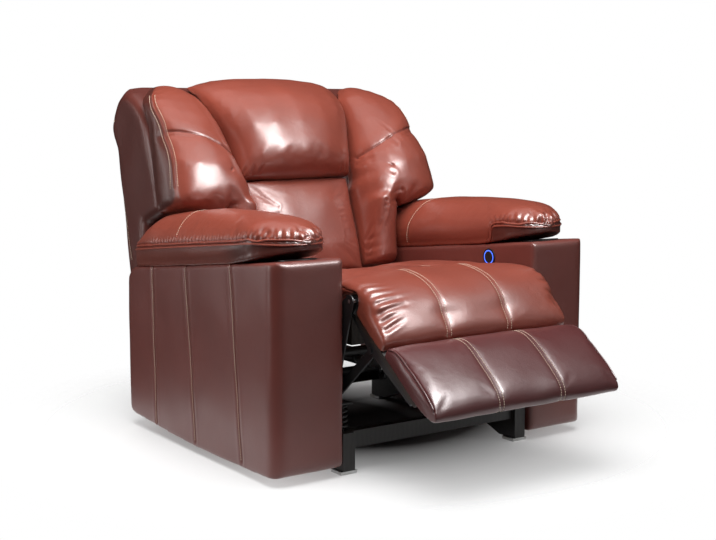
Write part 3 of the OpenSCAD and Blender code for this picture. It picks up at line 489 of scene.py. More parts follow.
def math_node(tree, operation, a, b):
    return add_node(tree, "ShaderNodeMath", [(0, a), (1, b)], operation=operation).outputs[0]


def plus(tree, a, b):
    return math_node(tree, "ADD", a, b)


def times(tree, a, b):
    return math_node(tree, "MULTIPLY", a, b)


def blend_colour(tree, factor, a, b):
    return add_node(tree, "ShaderNodeMix", [(0, factor), (6, a), (7, b)], data_type="RGBA").outputs[2]


def bump(tree, height, strength, distance, *links):
    links = [("Height", height), ("Strength", strength), ("Distance", distance), *links]
    return add_node(tree, "ShaderNodeBump", links).outputs["Normal"]


def marked(tree, name):
    return add_node(tree, "ShaderNodeAttribute", attribute_name=name).outputs["Fac"]


def leather_group():
    """Pebbled hide: cloudy dye, pale ridges that are partly wear and partly painted highlight, folds darkened
    as painted shade, pores and soft wrinkles.
    """
    inputs = ("Colour", "Deep Colour", "Rubbed Colour", "Side Colour", "Roughness", "Grain", "Wrinkles")
    tree, given, made = group_of("leather_hide", inputs, (*FINISHED, "Coat"))
    cloud = cloudy(tree, 7.0, 3.0)
    pebble = texture(tree, "ShaderNodeTexVoronoi", 480.0, feature="DISTANCE_TO_EDGE").outputs["Distance"]
    pores = cloudy(tree, 1400.0, 2.0)
    wrinkle = cloudy(tree, 42.0, 4.0, ("Distortion", 0.8))
    rise = marked(tree, "rise")
    fold = span(tree, rise, -0.05, -0.85)
    ridge = span(tree, rise, 0.12, 0.9)
    base = blend_colour(tree, marked(tree, "side"), given["Colour"], given["Side Colour"])
    dye = blend_colour(tree, span(tree, cloud, 0.35, 0.7, 0.0, 0.3), base, given["Deep Colour"])
    # Ridges lightened towards the pale colour: partly wear, partly painted highlight
    ridge_wear_and_highlight = blend_colour(tree, times(tree, ridge, 0.12), dye, given["Rubbed Colour"])
    # Painted shade: folds and hollows darkened towards the deep colour
    shaded = blend_colour(tree, times(tree, fold, 0.75), ridge_wear_and_highlight, given["Deep Colour"])
    gloss = plus(tree, given["Roughness"], span(tree, cloud, 0.3, 0.7, -0.03, 0.06))
    gloss = plus(tree, gloss, times(tree, fold, 0.2))
    grain = plus(tree, span(tree, pebble, 0.0, 0.16), times(tree, pores, 0.5))
    fine = bump(tree, times(tree, grain, given["Grain"]), 0.28, 0.0003)
    broad = bump(tree, times(tree, wrinkle, given["Wrinkles"]), 0.4, 0.002, ("Normal", fine))
    feed(tree, made, Colour=shaded, Roughness=gloss, Normal=broad, Coat=span(tree, fold, 0.0, 1.0, 0.7, 0.2))
    return tree


def coat_group():
    """Paint, powder coat or moulded plastic: fine orange peel, faint dust and uneven gloss."""
    inputs = ("Colour", "Dust Colour", "Peel Scale", "Peel", "Dust", "Roughness")
    tree, given, made = group_of("coat_film", inputs)
    peel = cloudy(tree, given["Peel Scale"], 2.0)
    cloud = cloudy(tree, 11.0, 5.0)
    dust = times(tree, span(tree, cloud, 0.42, 0.75), given["Dust"])
    feed(tree, made, Colour=blend_colour(tree, dust, given["Colour"], given["Dust Colour"]),
         Roughness=plus(tree, given["Roughness"], span(tree, cloud, 0.3, 0.7, -0.05, 0.12)),
         Normal=bump(tree, peel, given["Peel"], 0.0002))
    return tree


def metal_group():
    """Zinc plating: drawn streaks and cloudy passivation."""
    tree, given, made = group_of("plated_metal", ("Colour", "Cloud Colour", "Roughness"))
    streak = cloudy(tree, 900.0, 2.0)
    clouded = span(tree, cloudy(tree, 35.0, 5.0), 0.4, 0.65)
    feed(tree, made, Colour=blend_colour(tree, clouded, given["Colour"], given["Cloud Colour"]),
         Roughness=plus(tree, given["Roughness"], span(tree, streak, 0.3, 0.7, -0.06, 0.14)),
         Normal=bump(tree, streak, 0.2, 0.0002))
    return tree


def wood_group():
    """Sawn timber: stretched growth rings and open pores."""
    tree, given, made = group_of("sawn_wood", ("Early Colour", "Late Colour", "Roughness", "Grain"))
    rings = texture(tree, "ShaderNodeTexWave", 22.0, [("Distortion", 5.0), ("Detail", 3.0)],
                    bands_direction="X").outputs["Fac"]
    pores = cloudy(tree, 320.0, 3.0)
    feed(tree, made, Colour=blend_colour(tree, rings, given["Early Colour"], given["Late Colour"]),
         Roughness=plus(tree, given["Roughness"], span(tree, pores, 0.3, 0.7, -0.05, 0.1)),
         Normal=bump(tree, plus(tree, rings, times(tree, pores, 0.6)), given["Grain"], 0.0004))
    return tree


def surface(name, group, values, **shader):
    """A material: one group feeding the Principled shader, whose constant settings are its own."""
    material = bpy.data.materials.new(name)
    material.use_nodes = True
    tree = material.node_tree
    principled = tree.nodes["Principled BSDF"]
    effect = add_node(tree, "ShaderNodeGroup", node_tree=group)
    for node, settings in ((principled, shader), (effect, values)):
        for label, value in settings.items():
            node.inputs[label.replace("_", " ")].default_value = value
    made = effect.outputs
    feed(tree, principled, Base_Color=made["Colour"], Roughness=made["Roughness"], Normal=made["Normal"])
    if "Coat" in made:
        feed(tree, principled, Coat_Weight=made["Coat"])
    return material


def hide(name, colour, deep, ridge_wear_and_highlight, roughness, side=(0.12, 0.034, 0.026, 1), wrinkles=1.0):
    values = {"Colour": colour, "Deep_Colour": deep, "Rubbed_Colour": ridge_wear_and_highlight, "Side_Colour": side,
              "Roughness": roughness, "Grain": 1.0, "Wrinkles": wrinkles}
    return surface(name, leather, values, Coat_Roughness=0.29, Specular_IOR_Level=0.3)


def film(name, colour, dust_colour, roughness, scale=500.0, peel=0.5, dust=0.3, **shader):
    values = {"Colour": colour, "Dust_Colour": dust_colour, "Roughness": roughness, "Peel_Scale": scale,
              "Peel": peel, "Dust": dust}
    return surface(name, coat, values, **shader)


leather, coat, metal, wood = leather_group(), coat_group(), metal_group(), wood_group()
MATERIALS = {
    # Its side colour, on the bolsters' outer sides and the arm pads' bands, is a darker leather, partly
    # painted shade
    "leather": hide("chestnut_leather", (0.29, 0.062, 0.038, 1), (0.16, 0.032, 0.021, 1),
                    (0.45, 0.15, 0.1, 1), 0.42, (0.09, 0.024, 0.018, 1)),
    "panel_leather": hide("brown_panel_leather", (0.18, 0.042, 0.032, 1), (0.11, 0.025, 0.019, 1),
                          (0.25, 0.09, 0.065, 1), 0.45, wrinkles=0.6),
    # A darker copy of the panel leather for the back shell: painted shade
    "shell_leather": hide("painted_shade_panel_leather", (0.12, 0.028, 0.021, 1), (0.08, 0.02, 0.015, 1),
                          (0.18, 0.065, 0.05, 1), 0.42, wrinkles=0.6),
    # A darker copy of the chestnut leather for the foot pad and its piping: painted shade
    "foot_leather": hide("painted_shade_plum_leather", (0.11, 0.026, 0.026, 1), (0.07, 0.018, 0.018, 1),
                         (0.17, 0.06, 0.056, 1), 0.4),
    "thread": film("cream_thread", (0.72, 0.56, 0.43, 1), (0.55, 0.4, 0.3, 1), 0.7, 2600.0, 1.0),
    "black_wood": surface("painted_wood", wood, {"Early_Colour": (0.016, 0.013, 0.012, 1),
                          "Late_Colour": (0.011, 0.009, 0.008, 1), "Roughness": 0.36, "Grain": 0.25}),
    # Frame wood in a near black brown, darker than bare timber
    "dark_wood": surface("dark_frame_wood", wood, {"Early_Colour": (0.035, 0.023, 0.016, 1),
                         "Late_Colour": (0.018, 0.011, 0.008, 1), "Roughness": 0.6, "Grain": 0.7}),
    "zinc": surface("zinc_plate", metal, {"Colour": (0.55, 0.55, 0.56, 1),
                    "Cloud_Colour": (0.42, 0.41, 0.38, 1), "Roughness": 0.32}, Metallic=1.0),
    "nylon": film("white_nylon", (0.62, 0.6, 0.54, 1), (0.4, 0.38, 0.33, 1), 0.45, 300.0),
    "black_plastic": film("black_plastic", (0.012, 0.012, 0.013, 1), (0.05, 0.045, 0.04, 1), 0.34, 900.0),
    "black_steel": film("black_steel", (0.013, 0.013, 0.014, 1), (0.06, 0.055, 0.05, 1), 0.4, 650.0, 0.8),
    "light_ring": film("blue_light", (0.03, 0.08, 0.6, 1), (0.05, 0.1, 0.7, 1), 0.3, 300.0, 0.2, 0.1,
                       Emission_Color=(0.06, 0.16, 1.0, 1), Emission_Strength=2.2),
}


def dress(piece, material):
    piece.data.materials.clear()
    piece.data.materials.append(MATERIALS[material])
    return piece


# Soft pieces: each starts as its node's shape, remeshed, and swells against its held points
SWELLING = []


def filled(start, held, voxel=VOXEL):
    """A cushion from its start. held(points, normals) says which points its frame and seams hold."""
    piece = remeshed(start, voxel)
    SWELLING.append((piece, held(get_points(piece.data), get_normals(piece.data))))
    return piece


def cushion(name, node, held, voxel=VOXEL):
    return filled(copy_of(name, node), held, voxel)


def upholstered(piece, body, node, material="leather"):
    """Rides on its body, replaces its node and has its finish."""
    dress(piece, material)
    carried(piece, body)
    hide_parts(node)
    return piece


BACK_OUT = np.array([0, -math.cos(BACK_TILT), math.sin(BACK_TILT)])
LEGREST_UP = np.array([0, -math.sin(LEGREST_SLOPE), math.cos(LEGREST_SLOPE)])


def held_towards(direction, least, channels=False):
    """Holds the points whose normals lean this way, and where asked those of the sewn channels."""
    direction = np.asarray(direction, dtype=float)

    def held(points, normals):
        near_channel = np.abs(np.abs(points[:, 0]) - CHANNEL_X) < 0.7 * VOXEL
        return (normals @ direction > least) | (near_channel & channels)

    return held


# Knee: the leather's cross section is cast in rays from a centre in the gap at the hinge
KNEE_CENTRE = (-0.345, 0.43)
KNEE_ANGLES = (math.radians(36), math.radians(192))
KNEE_HALF = 0.298
KNEE_COLUMNS = 41
KNEE_ROWS = 25
KNEE_FAR = 0.5
KNEE_LEAST = 0.05
KNEE_FAIRINGS = 30
# Depths of the skin's outer and inner face, and how far its sides and its two ends are sunk in
KNEE_FACES = (-0.0015, 0.014)
KNEE_SIDE_SUNK = 0.006
KNEE_SIDE_SHARE = 0.07
KNEE_END_SUNK = 0.007
KNEE_END_ROWS = 3


def knee_radii(middles, ways):
    """How far the seat's and the calf pad's surface is from the knee's centre, with its hollows bridged."""
    carriers = bmesh.new()
    carriers.from_mesh(nodes["seat_cushion"].data)
    carriers.from_mesh(nodes["calf_pad"].data)
    tree = BVHTree.FromBMesh(carriers)
    carriers.free()
    radii = np.full((len(middles), len(ways)), KNEE_LEAST)
    for i, middle in enumerate(middles):
        for j, way in enumerate(ways):
            hit = tree.ray_cast(middle + way * KNEE_FAR, -way)[0]
            if hit is not None:
                radii[i, j] = (hit - middle).length
    bridged = radii.copy()
    for _ in range(KNEE_FAIRINGS):
        bridged[:, 1:-1] = np.maximum(radii[:, 1:-1], (bridged[:, :-2] + bridged[:, 2:]) / 2)
    return bridged


def knee_roll(calf_start):
    """The calf pad, its leather carried on over the hinge to the front of the seat as one skin."""
    columns, rows = KNEE_COLUMNS, KNEE_ROWS
    ways = [Vector((0, math.cos(a), math.sin(a))) for a in np.linspace(*KNEE_ANGLES, rows)]
    xs = np.linspace(-KNEE_HALF, KNEE_HALF, columns)
    middles = [Vector((x, *KNEE_CENTRE)) for x in xs]
    bridged = knee_radii(middles, ways)
    points = []
    for depth in KNEE_FACES:
        for x, middle, radii in zip(xs, middles, bridged):
            edge = (abs(x) / KNEE_HALF - 1 + KNEE_SIDE_SHARE) / KNEE_SIDE_SHARE
            sunk = KNEE_SIDE_SUNK * float(smooth(edge))
            for j, way in enumerate(ways):
                near_end = smooth(1 - j / KNEE_END_ROWS) + smooth(1 - (rows - 1 - j) / KNEE_END_ROWS)
                points.append(middle + way * (radii[j] - depth - KNEE_END_SUNK * float(near_end) - sunk))
    faces = []
    layer = columns * rows
    for i in range(columns - 1):
        for j in range(rows - 1):
            a, b = i * rows + j, (i + 1) * rows + j
            faces += [(a, b, b + 1, a + 1), (layer + a + 1, layer + b + 1, layer + b, layer + a)]
    rim = [i * rows for i in range(columns)] + [(columns - 1) * rows + j for j in range(1, rows)]
    rim += [i * rows + rows - 1 for i in range(columns - 2, -1, -1)] + list(range(rows - 2, 0, -1))
    for a, b in zip(rim, rim[1:] + rim[:1]):
        faces.append((b, a, layer + a, layer + b))
    return joined("calf_upholstery", [calf_start, mesh_piece("roll", points, faces)])


def carried(piece, body):
    """Rides on a body, or, for the knee between the seat and the legrest, has its place written into its
    points.
    """
    if body == "knee":
        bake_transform(piece)
    else:
        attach(piece, body)


held_by_board = held_towards(-LEGREST_UP, 0.4, channels=True)
held_by_back = held_towards(-BACK_OUT, 0.2)
held_by_arm = held_towards((0, 0, -1), 0.3)
seat = cushion("seat_upholstery", "seat_cushion", held_towards((0, 0, -1), 0.4, channels=True))
calf = filled(knee_roll(copy_of("calf_start", "calf_pad")), held_by_board)
foot = cushion("foot_upholstery", "foot_pad", held_by_board)
head = cushion("headrest_upholstery", "headrest_cushion", held_by_back)
lumbar = cushion("lumbar_upholstery", "lumbar_cushion", held_by_back)
bolsters = [cushion("bolster_upholstery_" + hand, "bolster_" + hand, held_by_back) for _, hand in SIDES]
arm_pads = [cushion("arm_pad_upholstery_" + hand, "arm_pad_" + hand, held_by_arm, PAD_VOXEL)
            for _, hand in SIDES]
swell(SWELLING)
for piece, _ in SWELLING:
    settled = relaxed(get_points(piece.data), get_edges(piece.data), SETTLE_TIMES)
    set_points(piece.data, settled + SETTLE_LIFT * get_normals(piece.data))
    modified(piece, "SUBSURF", levels=1, render_levels=1)


def fan_line(skin, centre, reach, x, sector):
    """Where an upright plane across a piece meets its skin, between two angles round its centre."""
    start, end = (math.radians(angle) for angle in sector)
    line = []
    for share in shares(60):
        angle = mix(start, end, share)
        way = Vector((0, math.cos(angle), math.sin(angle)))
        line.append(skin.cast(Vector((x, *centre)) + way * reach, -way))
    return evenly(line, LINE_PITCH)


def sew_channels(skin, name, body, centre, reach, sector):
    """Presses the two channels of a cushion in, with a row of stitches on each side of them."""
    rows = []
    for x in (-CHANNEL_X, CHANNEL_X):
        line = fan_line(skin, centre, reach, x, sector)
        skin.press(line, 0.011, 0.0022, fade=(0.03, 0.03))
        skin.press(line, 0.0025, 0.0016, fade=(0.02, 0.02))
    skin.refresh()
    for x in (-CHANNEL_X, CHANNEL_X):
        for offset in (-CHANNEL_HALF, CHANNEL_HALF):
            line = fan_line(skin, centre, reach, x + offset, sector)
            skin.press(line, 0.003, 0.0006, fade=(0.02, 0.02))
            rows.append(line)
    skin.refresh()
    carried(stitches(name, skin, rows), body)


def seat_piece():
    skin = Skin(seat).ripple(0.07, 0.0022, 1.3)
    sew_channels(skin, "seat_stitching", "seat_unit", (-0.15, 0.43), 0.6, (186, 17))
    skin.finished()
    upholstered(seat, "seat_unit", "seat_cushion")


# Pleats along the calf pad's outer edges: side, how many, and the length of the longest
CALF_PLEATS = ((-1, 7, 0.125), (1, 4, 0.045))


def calf_piece():
    """One skin from the seat's front over the knee to the crease, pleated along its outer edges."""
    skin = Skin(calf).ripple(0.08, 0.0016, 4.1)
    sew_channels(skin, "calf_stitching", "knee", legrest_point(0, 0.05, -0.01).yz, 0.5, (34, 212))
    up = Vector(LEGREST_UP)
    for side, count, most in CALF_PLEATS:
        for k in range(count):
            place = (k + 0.5) / count
            s = mix(-0.02, 0.142, place) + dice.uniform(-0.002, 0.002)
            length = most * (1 - 0.45 * abs(2 * place - 1)) * dice.uniform(0.85, 1.15)
            line = []
            for share in shares(10):
                x = side * (0.29 - length * share)
                point = legrest_point(x, mix(s, 0.07, 0.25 * share) - 0.012 * share, 0.0)
                line.append(skin.cast(point + up * 0.2, -up))
            skin.press(line, 0.0068, 0.003, 0.35, (0.15, 0.7))
    skin.finished()
    upholstered(calf, "knee", "calf_pad")


def foot_piece():
    """The foot pad, with piping along both its side edges."""
    skin = Skin(foot).ripple(0.08, 0.0016, 5.3)
    sew_channels(skin, "foot_stitching", "legrest", legrest_point(0, 0.28, -0.002).yz, 0.5, (20, 222))
    for side, hand in reversed(SIDES):
        edge = fan_line(skin, (-0.6, 0.27), 0.4, side * 0.2925, (40, 205))
        skin.press(edge, 0.0035, 0.002)
        piping = dress(tube("foot_pad_piping_" + hand, edge, 0.0022), "foot_leather")
        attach(piping, "legrest")
    skin.finished()
    # The pad, like its piping, takes the darker copy of the leather: painted shade
    upholstered(foot, "legrest", "foot_pad", "foot_leather")


def on_front(skin, x, t, reach=0.4):
    """The point on the front of the back at x, and t up its lean."""
    out = Vector(BACK_OUT)
    return skin.cast(back_point(x, t, 0) + out * reach, -out)


def back_line(skin, spots):
    """A line on the front of the back, through (x, t) spots."""
    line = []
    for (xa, ta), (xb, tb) in zip(spots[:-1], spots[1:]):
        steps = max(2, int(math.hypot(xb - xa, tb - ta) / 0.008))
        line += [on_front(skin, mix(xa, xb, share), mix(ta, tb, share)) for share in shares(steps)]
    return line


def head_piece():
    """The headrest, with three short folds at each lower corner."""
    skin = Skin(head).ripple(0.13, 0.003, 2.2)
    for side in (-1, 1):
        for k in range(3):
            x = side * (0.19 - 0.022 * k)
            skin.press(back_line(skin, [(x, 0.312), (x * 0.95, 0.338)]), 0.005, 0.0018, 0.4, (0.0, 0.6))
    skin.finished()
    upholstered(head, "backrest", "headrest_cushion")


def lumbar_piece():
    """Smooth, with faint puckers along its side seams."""
    skin = Skin(lumbar).ripple(0.09, 0.003, 6.4)
    for side in (-1, 1):
        for k in range(14):
            t = 0.03 + 0.0175 * k + dice.uniform(-0.004, 0.004)
            inner = 0.184 - dice.uniform(0.012, 0.022)
            line = back_line(skin, [(side * 0.192, t), (side * inner, t + 0.004)])
            skin.press(line, 0.0045, 0.0007, 0.3, (0.0, 0.6))
    skin.finished()
    upholstered(lumbar, "backrest", "lumbar_cushion")


def wing_half(t):
    """Half width of the back at the bolsters' outer edge."""
    wide = BACK_HALF + 0.018 * (1 - smooth((t - WING_START) / (ROLL_START - WING_START)))
    return wide - 0.085 * np.maximum(0.0, (t / 0.628 - 0.8) / 0.2) ** 2.2


# A bolster's slanting crease as (x, t) spots, and the inset, row gap and ends of its side seam
BOLSTER_CREASE = ((0.436, 0.437), (0.4, 0.43), (0.33, 0.408), (0.27, 0.378), (0.2, 0.344))
BOLSTER_SEAM = 0.012
BOLSTER_ROW = 0.0055
BOLSTER_ENDS = (0.266, 0.575)
BOLSTER_SIDE_FOOT = 0.215
# Folds of a bolster: two (x, t) ends, width and depth
BOLSTER_FOLDS = (
    ((0.205, 0.328), (0.29, 0.352), 0.007, 0.0017), ((0.3, 0.2), (0.236, 0.182), 0.007, 0.0022),
    ((0.3, 0.224), (0.25, 0.212), 0.006, 0.0016), ((0.185, 0.09), (0.262, 0.096), 0.0065, 0.0022),
    ((0.185, 0.062), (0.268, 0.067), 0.006, 0.0024), ((0.185, 0.04), (0.25, 0.043), 0.0055, 0.002),
    ((0.235, 0.5), (0.272, 0.52), 0.006, 0.0013), ((0.24, 0.526), (0.28, 0.548), 0.006, 0.0015),
    ((0.246, 0.552), (0.284, 0.572), 0.006, 0.0012))


def side_seam(skin, side, inset):
    """A line up a bolster, at an inset from its outer edge."""
    line = []
    for share in shares(79):
        t = mix(*BOLSTER_ENDS, share)
        line.append(on_front(skin, side * (float(wing_half(t)) - inset), t, 0.3))
    return skin.snapped(relaxed_line(line, 14))


def bolster_piece(piece, side, node):
    """One slanting seam across, a dark outer side, and on the left one folds where it is pinched."""
    skin = Skin(piece).ripple(0.12, 0.003, 3.3 + side)
    crease = back_line(skin, [(side * x, t) for x, t in BOLSTER_CREASE])
    skin.press(crease, 0.018, 0.0022, 0.2, (0.2, 0.0))
    skin.press(crease, 0.004, 0.0042, 0.0, (0.06, 0.0))
    skin.refresh()
    for (xa, ta), (xb, tb), width, depth in BOLSTER_FOLDS if side > 0 else ():
        skin.press(back_line(skin, [(side * xa, ta), (side * xb, tb)]), width, depth, 0.3, (0.0, 0.65))
    # The outer part of the foot hangs a little lower
    outer = smooth((np.abs(skin.co[:, 0]) - 0.29) / 0.03)
    lowered = smooth((0.3 - skin.height_up_back()) / 0.07) * outer
    skin.co[:, 1:] -= 0.011 * lowered[:, None] * BACK_LEAN
    skin.refresh()
    seam, *rows = [side_seam(skin, side, BOLSTER_SEAM + gap) for gap in (0, -BOLSTER_ROW, BOLSTER_ROW)]
    skin.press(seam, 0.0035, 0.0025)
    skin.refresh()
    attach(stitches(node + "_stitching", skin, rows), "backrest")
    # The outer side wall takes the hide's side colour, a darker leather made as dark as the shell's painted
    # shade
    t = skin.height_up_back()
    outside = smooth((np.abs(skin.co[:, 0]) - wing_half(t) + BOLSTER_SEAM) / 0.004 + 0.5)
    skin.mark("side", outside * (t > BOLSTER_SIDE_FOOT))
    skin.finished()
    upholstered(piece, "backrest", node)


# Arm pads: the welt runs round them between the band and the pillow
PAD_NOSE = ARM_FRONT + 0.022
PAD_REAR = ARM_REAR - 0.072
PAD_WIDE = 0.108
PAD_MIDDLE = (ARM_INNER + ARM_OUTER) / 2
NOSE_LENGTH = 0.108
NOSE_LEAN = 0.015
PAD_BAND = 0.058
WELT_DIP = 0.010
WELT_END = ARM_FRONT + 0.165
# Both cords of a pad's welt: name, height from the welt's line and girth
WELTS = (("_welt", 0.0, 1.0), ("_lower_welt", -0.0095, 0.715))
# Pleats over the welt: steps left free at both ends, steps from the nose to the smallest ones,
# and the length, width, depth and gap of the smallest and the largest
PLEAT_FREE = (12, 6)
PLEAT_SPREAD = 42
PLEAT_LENGTH = (0.018, 0.074)
PLEAT_WIDTH = (0.004, 0.0078)
PLEAT_DEPTH = (0.0009, 0.0045)
PLEAT_GAP = (0.015, 0.023)


def welt_point(side, edge, y):
    """A point of an arm pad's welt: edge is 1 on the outside and -1 on the inside."""
    lead = max(0.0, 1 - (y - PAD_NOSE) / NOSE_LENGTH)
    wide = PAD_WIDE * math.sqrt(max(0.0, 1 - lead * lead)) - NOSE_LEAN * lead
    middle = PAD_MIDDLE - NOSE_LEAN * lead
    return Vector((side * (middle + edge * wide), y, arm_top(y) + PAD_BAND - WELT_DIP * float(smooth(lead))))


def welt_line(side):
    """The welt from the rear of the outside, round the nose, to where it dips down on the inside."""
    turn = [PAD_NOSE + NOSE_LENGTH * (1 - math.sin(math.radians(a))) for a in range(0, 91, 5)]
    straight = [mix(PAD_REAR - 0.01, PAD_NOSE + NOSE_LENGTH, k / 40) for k in range(40)]
    ys = straight + turn
    inside = [y for y in reversed(turn[:-1])] + [mix(turn[0], WELT_END, k / 3) for k in (1, 2, 3)]
    line = [welt_point(side, 1, y) for y in ys] + [welt_point(side, -1, y) for y in inside]
    for k in range(1, 8):
        y = WELT_END + 0.0035 * k
        line.append(welt_point(side, -1, y) + Vector((0, 0, -(PAD_BAND - 0.006) * float(smooth(k / 7)))))
    return line


def pad_seam(skin, side):
    """The sewn line over an arm pad, from its outer welt over the top and down its inner side."""
    line = []
    for share in shares(60):
        angle = math.radians(mix(18, 200, share))
        y = 0.14 + 0.034 * math.sin(math.radians(90 * share)) + 0.03 * share**2
        middle = Vector((side * PAD_MIDDLE, y, arm_top(y) + PAD_BAND - 0.01))
        way = Vector((side * math.cos(angle), 0, math.sin(angle)))
        line.append(skin.cast(middle + way * 0.3, -way))
    return line


def pad_pleats(skin, side, welt):
    """Pleats: wide and deep round the nose, and small puckers behind."""
    nose = min(range(len(welt) - 1), key=lambda k: welt[k].y)
    place = PLEAT_FREE[0]
    while place < len(welt) - 1 - PLEAT_FREE[1]:
        near = max(0.0, 1 - abs(place - nose) / PLEAT_SPREAD)
        along = (welt[place + 1] - welt[place]).normalized()
        inward = Vector((side * PAD_MIDDLE, welt[place].y + 0.02, welt[place].z)) - welt[place]
        rise = Vector((0, 0, 1)) + 0.3 * inward.normalized() + along * dice.uniform(-0.35, 0.35)
        reach = mix(*PLEAT_LENGTH, near) * dice.uniform(0.75, 1.2)
        line = [welt[place] + Vector((0, 0, 0.007)) + rise.normalized() * reach * i / 7 for i in range(8)]
        skin.press(skin.snapped(line), mix(*PLEAT_WIDTH, near), mix(*PLEAT_DEPTH, near), 0.45, (0.0, 0.65))
        gap = mix(*PLEAT_GAP, near) + dice.uniform(-0.003, 0.005)
        place += max(2, int(gap / LINE_PITCH + 0.5))


def arm_pad_piece(piece, side, node):
    """A pillow over a darker band, with a double welt between them, pleats and one sewn line; the band's
    painted shade deepens towards the nose.
    """
    skin = Skin(piece).ripple(0.1, 0.002, 8.0 + side)
    welt = [Vector(p) for p in evenly(welt_line(side), LINE_PITCH)]
    skin.press(skin.snapped(welt), 0.006, 0.004)
    skin.refresh()
    cords = []
    for label, lift, girth in WELTS:
        found = [skin.tree.find_nearest(point + Vector((0, 0, lift)))[:2] for point in welt]
        path = relaxed_line([hit + normal * (0.45 * WELT_RADIUS) for hit, normal in found], 4)
        cords.append(tube(piece.name + label, path, WELT_RADIUS * girth))
    pad_pleats(skin, side, welt)
    skin.refresh()
    seam = pad_seam(skin, side)
    skin.press(seam, 0.003, 0.002)
    skin.refresh()
    for cord in cords:
        dress(cord, "leather")
        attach(cord, "seat_unit")
    rows = [[p + Vector((0, 0.004, 0)) for p in seam]]
    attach(stitches(piece.name + "_stitching", skin, rows), "seat_unit")
    welt_height = arm_top(skin.co[:, 1]) + PAD_BAND
    behind = smooth((skin.co[:, 1] - WELT_END) / 0.02)
    inner = side * skin.co[:, 0] < PAD_MIDDLE
    below = smooth((welt_height - 0.008 - skin.co[:, 2]) / 0.004)
    nose_shade = smooth((WELT_END + 0.1 - skin.co[:, 1]) / 0.12)
    # The band below the welt takes the hide's darker side colour, and more of it towards the nose as painted
    # shade
    skin.mark("side", below * np.where(inner, 1 - behind, 1.0) * (0.4 + 0.55 * nose_shade))
    skin.finished()
    upholstered(piece, "seat_unit", node)


# Arm covers: leather drawn over the arm box, with three upright seams outside
ARM_SEAMS = ((0.214, 0.164), (0.454, 0.407), (0.650, 0.637))
CUP_X = ARM_INNER + 0.46 * (ARM_OUTER - ARM_INNER)
CUP_Y = ARM_FRONT + 0.074
CUP_HOLE = 0.046
SWITCH = (ARM_FRONT + 0.182, 0.491)
SWITCH_HOLE = 0.0225


def arm_piece(side, node):
    piece = copy_of(node + "_leather", node)
    hull = bmesh.new()
    hull.from_mesh(piece.data)
    made = bmesh.ops.convex_hull(hull, input=hull.verts)
    bmesh.ops.delete(hull, geom=list({v for v in made["geom_interior"] + made["geom_unused"]
                                      if isinstance(v, bmesh.types.BMVert)}), context="VERTS")
    hull.to_mesh(piece.data)
    hull.free()
    skin = Skin(remeshed(piece, ARM_VOXEL)).relax(10).ripple(0.12, 0.0018, 5.0 + side)
    rows = []
    for top, bottom in ARM_SEAMS:
        line = []
        for share in shares(60):
            z = mix(arm_top(ARM_FRONT + top) - 0.002, 0.034, share)
            line.append(skin.cast((side * 0.7, ARM_FRONT + mix(top, bottom, share), z), (-side, 0, 0)))
        skin.press(line, 0.007, 0.0022, 0.25)
        skin.press(line, 0.002, 0.0014)
        rows.append([p + Vector((0, 0.004, 0)) for p in line])
    skin.refresh()
    cup_middle = Vector((side * CUP_X, CUP_Y, arm_top(CUP_Y)))
    opened = bmesh.new()
    opened.from_mesh(piece.data)
    doomed = []
    for face in opened.faces:
        centre = face.calc_center_median()
        in_cup = (centre - cup_middle).to_2d().length < CUP_HOLE and centre.z > ARM_HEIGHT - 0.06
        switch_gap = math.hypot(centre.y - SWITCH[0], centre.z - SWITCH[1])
        in_switch = side > 0 and switch_gap < SWITCH_HOLE and centre.x < ARM_INNER + 0.01
        if in_cup or in_switch:
            doomed.append(face)
    bmesh.ops.delete(opened, geom=doomed, context="FACES")
    opened.to_mesh(piece.data)
    opened.free()
    skin = Skin(piece)
    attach(stitches(node + "_stitching", skin, rows), "seat_unit")
    skin.finished()
    upholstered(piece, "seat_unit", node, "panel_leather")


# Back shell: a wide panel above and behind the arms, and a narrow waist between them
ROLL_REACH = BACK_LENGTH * 0.247
ROLL_FALL = 0.097
SHELL_FOOT = 0.300
SHELL_CLEAR = 0.017
UNDER_FALL = 0.075
SHELL_RISE = 0.024
RISE_START = 0.73
WAIST_HALF = 0.294
WAIST_LOW = -0.052
ROLL_SHARES = ((0.955, -0.56), (0.94, -0.7), (0.905, -0.79), (0.86, -0.87), (0.83, -0.905), (0.79, -0.9),
               (0.73, -0.868), (0.145, -1))


def at_back(t, n):
    return tuple(back_point(0, t, n).yz)


def shell_outline(rise):
    """Side outline of the wide panel, as (y, z), from the arm pad up the front and down the rear."""
    outline = [at_back(WING_START, CUSHION_BACK)]
    for share in shares(4):
        t = ROLL_START + ROLL_REACH * share
        fall = ROLL_FALL * ((t - ROLL_START) / ROLL_REACH) ** 2
        outline.append(at_back(t, CUSHION_BACK - fall))
    for share, depth in ROLL_SHARES:
        lift = rise * max(0.0, (share - RISE_START) / (1 - RISE_START))
        outline.append(at_back(BACK_LENGTH * share + lift, BACK_DEPTH * depth))
    rear_y = at_back(BACK_LENGTH * ROLL_SHARES[-1][0], -BACK_DEPTH)[0]
    under_y = ARM_REAR + SHELL_CLEAR
    outline += [(rear_y - UNDER_FALL / 3, SHELL_FOOT), (under_y + UNDER_FALL / 2, SHELL_FOOT),
                (under_y, SHELL_FOOT + UNDER_FALL), at_back(WING_START - 0.002, -BACK_DEPTH / 2)]
    return np.array(outline)


